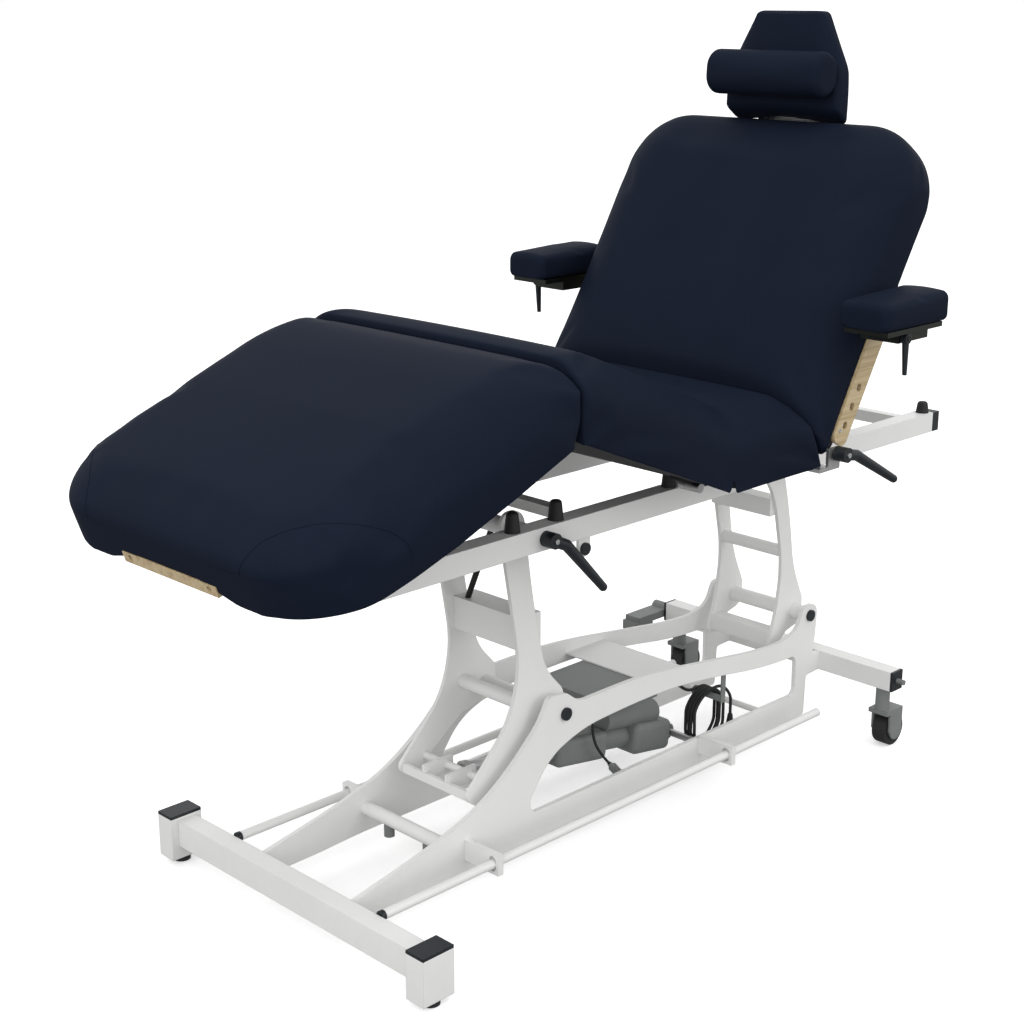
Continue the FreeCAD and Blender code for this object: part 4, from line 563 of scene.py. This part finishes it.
# bed cushions: each is a grid of rings along its length, later swollen as cloth
bed = {"half": 0.379, "seat": 0.0263, "deckHalf": 0.3706, "crown": 0.0045, "drawIn": 0.0035,
       "hip": (0.019, 0.738), "thighLength": 0.453, "seatLength": 0.298,
       "thighTilt": 22.3, "legTilt": 18.5, "backTilt": 59.6,
       "hangFrom": 0.138, "hangReach": 0.03, "restSide": 0.0002, "restUp": 0.002,
       "tautFrom": 0.002, "tautReach": 0.10}
across = [0.0, 0.075, 0.15, 0.225, 0.30, 0.37, 0.44, 0.505, 0.56, 0.61, 0.655, 0.695, 0.73, 0.762,
          0.792, 0.82, 0.846, 0.87, 0.892, 0.912, 0.93, 0.946, 0.96, 0.972, 0.982, 0.990, 0.996, 1.0]
under = [0.0, 0.16, 0.32, 0.48, 0.62, 0.74, 0.84, 0.92, 0.97, 1.0]
spacing = {"cornerSteps": 14, "jointGaps": (0.0, 0.0015, 0.005, 0.010, 0.017, 0.026, 0.037, 0.050),
           "deckGap": 0.0004, "closest": 0.0007, "widest": 0.0145}
hemLine = {"inset": 0.003, "drops": (0.35, 0.7, 1.0), "tuck": 0.0004, "dip": 0.0006, "curl": 0.0022,
           "sideSteps": 8}


def sectionPoint(axis, tilt, along, up):
    turn = math.radians(tilt)
    return (axis[0] + along * math.cos(turn) + up * math.sin(turn),
            axis[1] - along * math.sin(turn) + up * math.cos(turn))


def sectionUp(axis, tilt, spot):
    turn = math.radians(tilt)
    return (spot.x - axis[0]) * math.sin(turn) + (spot.z - axis[1]) * math.cos(turn)


def sectionAlong(axis, tilt, spot):
    turn = math.radians(tilt)
    return (spot.x - axis[0]) * math.cos(turn) - (spot.z - axis[1]) * math.sin(turn)


knee = sectionPoint(bed["hip"], bed["thighTilt"], -bed["thighLength"], 0)
backAxis = (bed["hip"][0] + bed["seatLength"], bed["hip"][1])


def between(table, place):
    # straight line through the rows of a table, held at its ends
    if place <= table[0][0]:
        return table[0][1]
    for (low, first), (high, second) in zip(table, table[1:]):
        if place <= high:
            return first + (second - first) * (place - low) / (high - low)
    return table[-1][1]


def roundCorner(gap, radius):
    if gap >= radius:
        return 0.0
    return radius - math.sqrt(max(0.0, radius * radius - (radius - gap) ** 2))


def padHalf(pad, along, corners=True):
    span = pad["span"]
    share = (along - span[0]) / (span[1] - span[0])
    half = bed["half"] - bed["drawIn"] * math.sin(math.pi * min(1, max(0, share)))
    if corners:
        for free, radius in pad["free"]:
            half -= roundCorner(abs(along - free), radius)
        for end, reach, depth in pad["joint"]:
            half -= roundCorner(abs(along - end), pad["sideRound"])
    return half


def padHeight(pad, along, y):
    # top of the pad over a point, from its distance to the free edges and to the joint ends
    gap = padHalf(pad, along, False) - abs(y)
    for free, radius in pad["free"]:
        near = abs(along - free)
        if near < radius and gap < radius:
            gap = radius - math.hypot(radius - near, radius - gap)
        else:
            gap = min(gap, near)
    share = min(1.0, max(0.0, gap) / pad["edge"])
    rise = math.sqrt(max(0.0, 1 - (1 - share) ** 2))
    full = between(pad["top"], along) - pad["bulge"]
    high = full * rise + bed["crown"] * share * (1 - (y / bed["half"]) ** 2)
    for end, reach, depth in pad["joint"]:
        near = abs(along - end)
        if near < reach:
            high -= depth * (1 - math.sqrt(1 - (1 - near / reach) ** 2)) * high / full
    return pad["bulge"] + high


def insideDeck(pad, along, end):
    # how far a station lies inside the end of its deck, below zero past that end
    free = pad["free"][0][0]
    return abs(along - free) - abs(end - free)


def deckHalf(pad, along):
    half = bed["deckHalf"]
    for end, radius in pad["deckEnd"]:
        half -= roundCorner(max(0.0, insideDeck(pad, along, end)), radius)
    return half


def padFloor(pad, along, y):
    # the pad lies on its deck; past the end of the deck its corners hang beside it
    for end, radius in pad["deckEnd"]:
        if insideDeck(pad, along, end) < 0:
            hang = ease((abs(y) - bed["hangFrom"]) / bed["hangReach"])
            return bed["seat"] + (between(pad["skirt"], along) - bed["seat"]) * hang
    return bed["seat"]


def padStations(pad):
    low, high = pad["span"]
    stations = {low, high, *pad["extra"]}
    count = spacing["cornerSteps"]
    for end, radius in pad["free"]:
        way = 1 if end == low else -1
        for step in range(count + 1):
            stations.add(end + way * radius * (1 - math.cos(math.radians(90 * step / count))))
    for end, reach, depth in pad["joint"]:
        way = 1 if end == low else -1
        for gap in spacing["jointGaps"]:
            stations.add(end + way * gap)
    for end, radius in pad["deckEnd"]:
        stations |= {end - spacing["deckGap"], end + spacing["deckGap"]}
    ordered = sorted(stations)
    filled = [ordered[0]]
    for station in ordered[1:]:
        start = filled[-1]
        if station - start < spacing["closest"]:
            continue
        parts = max(1, math.ceil((station - start) / spacing["widest"]))
        filled += [start + (station - start) * step / parts for step in range(1, parts + 1)]
    return filled


def padRing(pad, along):
    # from the middle of the underside, out to the hem, up the side and back over the top
    half = padHalf(pad, along)
    inner = min(deckHalf(pad, along), half - hemLine["inset"])
    hem = between(pad["skirt"], along)
    for place, wide, tall in pad["vee"]:
        hem += tall * max(0.0, 1 - abs(along - place) / wide)
    edge = padFloor(pad, along, inner)
    ring = [(along, share * inner, padFloor(pad, along, share * inner)) for share in under]
    ring += [(along, inner, edge + (hem - edge) * share) for share in hemLine["drops"]]
    ring.append((along, (inner + half) / 2 - hemLine["tuck"], hem - hemLine["dip"]))
    for step in range(hemLine["sideSteps"]):
        share = step / hemLine["sideSteps"]
        ring.append((along, half - hemLine["curl"] * (1 - share) ** 3, hem + (pad["bulge"] - hem) * share))
    ring += [(along, share * half, padHeight(pad, along, share * half)) for share in reversed(across)]
    return ring + [(a, -y, up) for a, y, up in reversed(ring[1:-1])]


def skin(name, rings, shape):
    # joins rings of equal count into one closed surface
    weld = 0.00005
    spots, faces = [], []
    count = len(rings[0])
    for ring in rings:
        spots += [shape(*spot) for spot in ring]
    for row in range(len(rings) - 1):
        for place in range(count):
            following = (place + 1) % count
            faces.append((row * count + place, row * count + following,
                          (row + 1) * count + following, (row + 1) * count + place))
    faces.append(tuple(reversed(range(count))))
    faces.append(tuple((len(rings) - 1) * count + place for place in range(count)))
    mesh = bpy.data.meshes.new(name)
    mesh.from_pydata(spots, [], faces)
    piece = bpy.data.objects.new(name, mesh)
    scene.collection.objects.link(piece)
    pick(piece)
    bpy.ops.object.mode_set(mode="EDIT")
    bpy.ops.mesh.select_all(action="SELECT")
    bpy.ops.mesh.remove_doubles(threshold=weld)
    bpy.ops.mesh.normals_make_consistent(inside=False)
    bpy.ops.object.mode_set(mode="OBJECT")
    return piece


# the joint ends lean to meet halfway, with a little play and a cut that narrows upwards
kneeEnd = {"lean": 0.22, "cutReach": 0.03, "cutWide": 0.011, "cutTall": 0.045}
rearEnd = {"lean": 0.2, "cutReach": 0.04, "cutWide": 0.012, "cutTall": 0.060}
backEnd = {"lean": 0.26}
endPlay = 0.0008
hipBend = {"tight": 0.018, "wider": 0.075, "over": 0.10}
kneeSlope = math.tan(math.radians((bed["thighTilt"] + bed["legTilt"]) / 2))
backSlope = math.tan(math.radians(bed["backTilt"] / 2))


def notch(facts, gap, up):
    return (1 - ease(gap / facts["cutReach"])) * (facts["cutWide"] * max(0.0, 1 - up / facts["cutTall"]))


def legShape(along, y, up):
    near = 1 - ease(-along / kneeEnd["lean"])
    along += near * (up * kneeSlope - endPlay) - notch(kneeEnd, -along, up)
    x, z = sectionPoint(knee, -bed["legTilt"], along, up)
    return (x, y, z)


def thighSeatShape(along, y, up):
    fore = along + bed["thighLength"]
    rear = bed["seatLength"] - along
    shift = -(1 - ease(fore / kneeEnd["lean"])) * (up * kneeSlope - endPlay)
    shift += notch(kneeEnd, fore, up)
    shift -= (1 - ease(rear / rearEnd["lean"])) * (up * backSlope + endPlay)
    shift -= notch(rearEnd, rear, up)
    # bend about the hip axis, sharp on the decks and wide at the top
    reach = hipBend["tight"] + hipBend["wider"] * ease((up - bed["seat"]) / hipBend["over"])
    turn = bed["thighTilt"] * (1 - ease((along + reach) / (2 * reach)))
    x, z = sectionPoint(bed["hip"], turn, along + shift, up)
    return (x, y, z)


def backShape(along, y, up):
    near = 1 - ease(along / backEnd["lean"])
    along += near * (up * backSlope + endPlay)
    x, z = sectionPoint(backAxis, -bed["backTilt"], along, up)
    return (x, y, z)


legPad = {
    "name": "legCushion", "shape": legShape, "decks": [(knee, -bed["legTilt"])], "span": (-0.604, 0.0),
    "free": [(-0.604, 0.150)], "joint": [(0.0, 0.15, 0.050)], "deckEnd": [(-0.5944, 0.138)],
    "bulge": 0.070, "edge": 0.085, "sideRound": 0.014, "swell": 0.006, "vee": [], "extra": [],
    "top": [(-0.604, 0.115), (-0.50, 0.130), (-0.40, 0.143), (-0.28, 0.155), (-0.15, 0.160), (0.0, 0.160)],
    "skirt": [(-0.604, 0.002), (-0.50, -0.012), (-0.40, -0.018), (-0.30, -0.018), (-0.15, -0.009),
              (0.0, 0.004)]}
thighSeatPad = {
    "name": "thighSeatCushion", "shape": thighSeatShape, "span": (-0.453, 0.298),
    "decks": [(bed["hip"], bed["thighTilt"]), (bed["hip"], 0.0)], "free": [], "deckEnd": [],
    "joint": [(-0.453, 0.09, 0.024), (0.298, 0.05, 0.030)],
    "bulge": 0.065, "edge": 0.085, "sideRound": 0.016, "swell": 0.006, "vee": [(0.0, 0.010, 0.032)],
    "extra": [-0.018, -0.010, -0.005, 0.0, 0.005, 0.010, 0.018],
    "top": [(-0.453, 0.152), (0.298, 0.150)], "skirt": [(-0.453, 0.004), (0.298, 0.004)]}
backPad = {
    "name": "backCushion", "shape": backShape, "decks": [(backAxis, -bed["backTilt"])], "span": (0.0, 0.710),
    "free": [(0.710, 0.150)], "joint": [(0.0, 0.06, 0.036)], "deckEnd": [(0.6904, 0.140)],
    "bulge": 0.044, "edge": 0.125, "sideRound": 0.016, "swell": 0.006, "vee": [],
    "extra": [0.352, 0.354, 0.362, 0.376], "top": [(0.0, 0.1285), (0.690, 0.1285)],
    "skirt": [(0.0, 0.0266), (0.352, 0.0266), (0.362, 0.004), (0.376, -0.012), (0.56, -0.016),
              (0.66, -0.004), (0.710, 0.002)]}
clothFacts = {"quality": 5, "mass": 0.4, "tension_stiffness": 20, "compression_stiffness": 20,
              "bending_stiffness": 4, "use_pressure": True, "vertex_group_mass": "held"}


def swell(piece, cap, held, pressure=4.0, frames=20, share=None):
    # cloth filled with air; every point may move no further than the cap, and less near a stiff end
    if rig.quick():
        return
    still = 1e-6
    start = [vertex.co.copy() for vertex in piece.data.vertices]
    group = piece.vertex_groups.new(name="held")
    group.add(sorted(held), 1.0, "REPLACE")
    cloth = piece.modifiers.new("cloth", "CLOTH")
    for key, value in clothFacts.items():
        setattr(cloth.settings, key, value)
    cloth.settings.uniform_pressure_force = pressure
    cloth.settings.effector_weights.gravity = 0
    cloth.point_cache.frame_start = 1
    cloth.point_cache.frame_end = frames
    for number in range(1, frames + 1):
        scene.frame_set(number)
    grown = piece.evaluated_get(bpy.context.evaluated_depsgraph_get())
    moved = [vertex.co.copy() for vertex in grown.data.vertices]
    piece.modifiers.remove(cloth)
    piece.vertex_groups.clear()
    furthest = 0.0
    for vertex, old, new in zip(piece.data.vertices, start, moved):
        step = new - old
        length = step.length
        furthest = max(furthest, length)
        if length > still:
            give = share(old) if share else 1.0
            vertex.co = old + step * (give * cap * math.tanh(length / cap) / length)
    piece.data.update()
    scene.frame_set(1)
    print("swollen:", piece.name, "free move %.1f mm" % (furthest * 1000))


def endPoints(piece):
    # the corners of the two large end faces
    return {index for face in piece.data.polygons if len(face.vertices) > 4 for index in face.vertices}


def finishPad(piece):
    pick(piece)
    bpy.ops.object.shade_smooth()
    layer = piece.modifiers.new("soft", "SUBSURF")
    layer.levels = layer.render_levels = 1
    return applyAll(piece)


def padGive(pad, spot):
    # a free end stays taut over its flat end panel
    along = sectionAlong(*pad["decks"][0], spot)
    gives = [ease((abs(along - free) - bed["tautFrom"]) / bed["tautReach"]) for free, radius in pad["free"]]
    return min([1.0] + gives)


def padUp(pad, spot):
    # height above the lower of the decks the pad lies on
    return min(sectionUp(*deck, spot) for deck in pad["decks"])


def makeBedPad(pad):
    piece = skin(pad["name"], [padRing(pad, along) for along in padStations(pad)], pad["shape"])
    wear(piece, "navy_vinyl")
    held = endPoints(piece)
    side, top = bed["deckHalf"] + bed["restSide"], bed["seat"] + bed["restUp"]
    for vertex in piece.data.vertices:
        if abs(vertex.co.y) < side and padUp(pad, vertex.co) < top:
            held.add(vertex.index)
    swell(piece, pad["swell"], held, share=lambda spot: padGive(pad, spot))
    return finishPad(piece)


legCushion = makeBedPad(legPad)
thighSeatCushion = makeBedPad(thighSeatPad)
backCushion = makeBedPad(backPad)
print("bed cushions made")


def worldPoint(axis, tilt, along, up):
    x, z = sectionPoint(axis, tilt, along, up)
    return (x, 0, z)


def bendSlab(axis, tilt, way, slope, deep):
    # the layer beside a joint that gives way, measured square to the leaning end face
    level = 0.06
    long = math.hypot(1, slope)
    foot = worldPoint(axis, tilt, level * slope, level)
    inner = worldPoint(axis, tilt, level * slope - way * deep / long, level + way * deep * slope / long)
    return {"start": inner, "end": foot}


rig.replaces(legCushion, "leg_cushion")
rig.blend(legCushion, "leg", "thigh", **bendSlab(knee, -bed["legTilt"], 1, kneeSlope, 0.125))
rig.replaces(thighSeatCushion, "thigh_cushion", "seat_cushion")
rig.blend(thighSeatCushion, "thigh", "top_frame", start=worldPoint(bed["hip"], 11.15, -0.07, 0.0),
         end=worldPoint(bed["hip"], 11.15, 0.07, 0.0))
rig.replaces(backCushion, "back_cushion")
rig.blend(backCushion, "back", "top_frame", **bendSlab(backAxis, -bed["backTilt"], -1, backSlope, 0.075))
for piece in (legCushion, thighSeatCushion, backCushion):
    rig.padded(piece, fill=0.85)


# the sewn oval over each foot corner of the leg cushion, laid on its surface
cornerSeam = {"radius": 0.0011, "steps": 6, "rounds": 3, "path": [
    (-0.604, 0.214, 0.071), (-0.591, 0.224, 0.094), (-0.562, 0.242, 0.112), (-0.529, 0.275, 0.120),
    (-0.488, 0.324, 0.121), (-0.451, 0.359, 0.107), (-0.421, 0.376, 0.085), (-0.402, 0.378, 0.056),
    (-0.396, 0.378, 0.030), (-0.407, 0.378, 0.013)]}


def onLeg(spot):
    return legCushion.closest_point_on_mesh(spot)[1]


def sewSeam(name, side):
    path = cornerSeam["path"]
    points = []
    for (along, y, up), (nextAlong, nextY, nextUp) in zip(path, path[1:]):
        for step in range(cornerSeam["steps"]):
            share = step / cornerSeam["steps"]
            x, z = sectionPoint(knee, -bed["legTilt"], along + (nextAlong - along) * share,
                                up + (nextUp - up) * share)
            points.append(onLeg(Vector((x, side * (y + (nextY - y) * share), z))))
    for turn in range(cornerSeam["rounds"]):
        softer = [(a + b * 2 + c) / 4 for a, b, c in zip(points, points[1:], points[2:])]
        points = [points[0]] + softer + [points[-1]]
    seam = tube(name, "POLY", [onLeg(point) for point in points], cornerSeam["radius"], facets=2)
    pick(seam)
    bpy.ops.object.convert(target="MESH")
    wear(seam, "navy_vinyl")
    bpy.ops.object.shade_smooth()
    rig.ride(seam, "leg")


sewSeam("cornerSeamNear", -1)
sewSeam("cornerSeamFar", 1)
print("seams sewn")


# small pads: rings of a rounded outline along the pad, with rounded ends
loafGrid = {"flat": 14, "arc": 10, "wall": 5, "ends": 8, "pitch": 0.009, "widest": 0.999, "tallest": 0.4995,
            "pressure": 3.0, "frames": 14}


def loafRing(half, low, high, radius, crown):
    # the underside, then the four rounded corners with the sides and the top between them
    flat, arc, wall = loafGrid["flat"], loafGrid["arc"], loafGrid["wall"]
    corner = min(radius, half * loafGrid["widest"], (high - low) * loafGrid["tallest"])
    rise = high - low - 2 * corner
    middle = [(2 * step / flat - 1) * (half - corner) for step in range(flat + 1)]
    turns = [math.radians(90 * step / arc) for step in range(arc)]
    sweep = [(corner * math.sin(turn), corner * math.cos(turn)) for turn in turns]
    ring = [(y, low) for y in middle[:-1]]
    ring += [(half - corner + sine, low + corner - cosine) for sine, cosine in sweep]
    ring += [(half, low + corner + rise * step / wall) for step in range(wall)]
    ring += [(half - corner + cosine, high - corner + sine) for sine, cosine in sweep]
    ring += [(y, high) for y in reversed(middle[1:])]
    ring += [(-half + corner - sine, high - corner + cosine) for sine, cosine in sweep]
    ring += [(-half, high - corner - rise * step / wall) for step in range(wall)]
    ring += [(-half + corner - cosine, low + corner - sine) for sine, cosine in sweep]
    centre = (low + high) / 2
    return [(y, up + crown * (1 - (y / half) ** 2) * (up > centre)) for y, up in ring]


def loafStations(low, high, endRound):
    count = loafGrid["ends"]
    ends = [endRound * (1 - math.cos(math.radians(90 * step / count))) for step in range(count + 1)]
    reach = high - low - 2 * endRound
    inside = max(2, math.ceil(reach / loafGrid["pitch"]))
    stations = [low + gap for gap in ends]
    stations += [low + endRound + reach * step / inside for step in range(1, inside)]
    return stations + [high - gap for gap in reversed(ends)]


def loaf(pad):
    low, high = pad["half"][0][0], pad["half"][-1][0]
    rings = []
    for place in loafStations(low, high, pad["endRound"]):
        inset = roundCorner(min(place - low, high - place), pad["endRound"])
        crown = pad["crown"] * (1 - inset / pad["endRound"])
        floor = between(pad["low"], place) + inset * pad["sink"]
        ring = loafRing(between(pad["half"], place) - inset, floor, between(pad["high"], place) - inset,
                        pad["round"], crown)
        rings.append([(place, y, up) for y, up in ring])
    piece = skin(pad["name"], rings, pad["shape"])
    wear(piece, "navy_vinyl")
    held = endPoints(piece)
    held |= {vertex.index for vertex in piece.data.vertices if pad["level"](vertex.co) < pad["contact"]}
    swell(piece, pad["swell"], held, loafGrid["pressure"], loafGrid["frames"])
    finishPad(piece)
    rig.ride(piece, pad["body"])
    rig.replaces(piece, pad["node"])
    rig.padded(piece, fill=0.8)


def armrestPad(side, label):
    middle = side * 0.4515
    return {"name": "armrestPad" + label.capitalize(), "node": "armrest_pad_" + label,
            "body": "armrest_" + label, "half": [(0.294, 0.0555), (0.510, 0.0565)],
            "low": [(0.294, 1.0257), (0.510, 1.0257)],
            "high": [(0.294, 1.078), (0.40, 1.082), (0.510, 1.084)],
            "round": 0.013, "endRound": 0.014, "sink": 0.25, "crown": 0.004, "swell": 0.004,
            "shape": lambda along, y, up: (along, middle + y, up),
            "level": lambda spot: spot.z, "contact": 1.0265}


head = {"axis": (0.6733, 1.3788), "tilt": -86.6, "lean": 0.38, "outerLean": 0.22, "mountHalf": 0.096,
        "fade": 0.02, "leanReach": 0.06, "front": 0.066, "rollMiddle": 0.094}


def headShape(along, y, up):
    # the lower end leans to lie along the end of the back cushion, less so over the mount
    lean = head["lean"] + head["outerLean"] * ease((abs(y) - head["mountHalf"]) / head["fade"])
    near = 1 - ease((along - headPad["half"][0][0]) / head["leanReach"])
    along -= near * lean * (head["front"] - up)
    x, z = sectionPoint(head["axis"], head["tilt"], along, up)
    return (x, y, z)


def rollShape(along, y, up):
    x, z = sectionPoint(head["axis"], head["tilt"], head["rollMiddle"] + y, up)
    return (x, along, z)


def headUp(spot):
    return sectionUp(head["axis"], head["tilt"], spot)


headPad = {"name": "headrestPad", "node": "headrest_pad", "body": "headrest",
           "half": [(0.0200, 0.148), (0.030, 0.149), (0.060, 0.148), (0.104, 0.144), (0.114, 0.140),
                    (0.224, 0.084)],
           "low": [(0.0200, 0.0214), (0.224, 0.0214)],
           "high": [(0.0200, 0.066), (0.06, 0.068), (0.224, 0.060)],
           "round": 0.011, "endRound": 0.009, "sink": 0.2, "crown": 0.005, "swell": 0.004,
           "shape": headShape, "level": headUp, "contact": 0.0222}
neckRoll = {"name": "headrestRoll", "node": "headrest_roll", "body": "headrest",
            "half": [(-0.148, 0.047), (0.148, 0.047)], "low": [(-0.148, 0.0745), (0.148, 0.0745)],
            "high": [(-0.148, 0.146), (0.148, 0.146)],
            "round": 0.0356, "endRound": 0.016, "sink": 0.3, "crown": 0.002, "swell": 0.003,
            "shape": rollShape, "level": headUp, "contact": 0.0755}
for pad in (headPad, neckRoll, armrestPad(-1, "near"), armrestPad(1, "far")):
    loaf(pad)
print("small pads made")


# turned studs: end plugs of the foot bars and wood screws of the strips
studs = {"footBarPlug": {"wide": 0.0098, "deep": 0.009, "slot": "black_plastic", "dish": -0.0015},
         "stripScrew": {"wide": 0.0042, "deep": 0.0030, "slot": "steel", "dish": -0.0012}}
studForm = {"sides": 40, "rim": 0.45, "slope": 0.14, "bevel": 0.05}
studPlaces = {"plugX": -0.7225, "plugY": 0.210, "plugZ": 0.092, "screwAlong": (0.075, 0.325),
              "screwUp": 0.014, "screwY": 0.3802}


def addStud(kind, name, spot, way, body):
    facts = studs[kind]
    wide = facts["wide"]
    dropPick()
    bpy.ops.mesh.primitive_cylinder_add(vertices=studForm["sides"], radius=wide, depth=facts["deep"])
    stud = bpy.context.object
    stud.name = name
    bpy.ops.object.mode_set(mode="EDIT")
    bpy.ops.mesh.select_all(action="DESELECT")
    bpy.ops.object.mode_set(mode="OBJECT")
    for face in stud.data.polygons:
        face.select = face.normal.z > 0.9
    bpy.ops.object.mode_set(mode="EDIT")
    bpy.ops.mesh.inset(thickness=wide * studForm["rim"], depth=0)
    bpy.ops.mesh.inset(thickness=wide * studForm["slope"], depth=facts["dish"])
    bpy.ops.object.mode_set(mode="OBJECT")
    bevel = stud.modifiers.new("bevel", "BEVEL")
    bevel.width = wide * studForm["bevel"]
    bevel.segments = 2
    bevel.limit_method = "ANGLE"
    applyAll(stud)
    stud.rotation_euler = Vector(way).to_track_quat("Z", "Y").to_euler()
    stud.location = spot
    settle(stud)
    wear(stud, facts["slot"])
    smooth(stud)
    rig.ride(stud, body)


for side, label in ((-1, "Near"), (1, "Far")):
    plug = (studPlaces["plugX"], side * studPlaces["plugY"], studPlaces["plugZ"])
    addStud("footBarPlug", "footBarPlug" + label, plug, (-1, 0, 0), "switch_bar_" + label.lower())
    for number, along in enumerate(studPlaces["screwAlong"]):
        x, z = sectionPoint(backAxis, -bed["backTilt"], along, studPlaces["screwUp"])
        addStud("stripScrew", "stripScrew%s%d" % (label, number), (x, side * studPlaces["screwY"], z),
                (0, side, 0), "back")
print("studs added")


# floor and light
studio = {"floor": 0.90, "cloud": 0.03, "glow": 0.40, "above": 1.0, "below": 0.32, "rise": 0.2, "size": 600,
          "drop": 0.0005}
lights = {"topLight": {"spot": (-0.7, -0.7, 4.6), "target": (0, 0, 0.6), "size": 3.5, "power": 40},
          "frontLight": {"spot": (-4.4, -1.6, 2.4), "target": (-0.2, 0, 0.6), "size": 2.5, "power": 46},
          "sideLight": {"spot": (0.8, -4.6, 2.0), "target": (0.2, 0, 0.6), "size": 2.5, "power": 30}}


def grey(tone):
    return (tone, tone, tone)


def addFloor():
    # lights the scene a little itself, and stays out of bounced light and reflections
    dropPick()
    bpy.ops.mesh.primitive_plane_add(size=studio["size"], location=(0, 0, -studio["drop"]))
    floor = bpy.context.object
    floor.name = "studioFloor"
    finish = Finish("paleFloor")
    drift = finish.noise(scale=3, detail=2)
    tone = finish.blend(drift, (*grey(studio["floor"]), 1), (*grey(studio["floor"] + studio["cloud"]), 1))
    floor.data.materials.append(finish.close(Base_Color=tone, Roughness=drift * 0.05 + 0.85,
                                             Specular_IOR_Level=0.1, Emission_Color=(1, 1, 1, 1),
                                             Emission_Strength=studio["glow"]))
    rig.stage(floor)
    floor.visible_diffuse = False
    floor.visible_glossy = False


def addSky():
    sky = Finish("studioSky", True)
    climb = sky.along("Z")
    stops = [(0.25, grey(studio["below"])), (0.47, grey(studio["below"] + studio["rise"])),
             (0.495, grey(studio["above"]))]
    ramp = sky.node("ShaderNodeValToRGB", {"stops": stops}, {0: climb * 0.5 + 0.5})
    glow = sky.node("ShaderNodeBackground", None, {"Color": ramp, "Strength": 1.0})
    sky.node("ShaderNodeOutputWorld", None, {"Surface": glow})
    scene.world = sky.material


def addLights():
    for name, facts in lights.items():
        dropPick()
        bpy.ops.object.light_add(type="AREA", location=facts["spot"])
        light = bpy.context.object
        light.name = name
        light.data.size = facts["size"]
        light.data.energy = facts["power"]
        aim(light, Vector(facts["target"]) - Vector(facts["spot"]))


addFloor()
addSky()
addLights()
scene.view_settings.view_transform = "Standard"
print("studio set")

visualBox = [list(corner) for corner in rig.bounds()]
json.dump({"cad": cadBox, "visual": visualBox}, open("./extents.json", "w"))
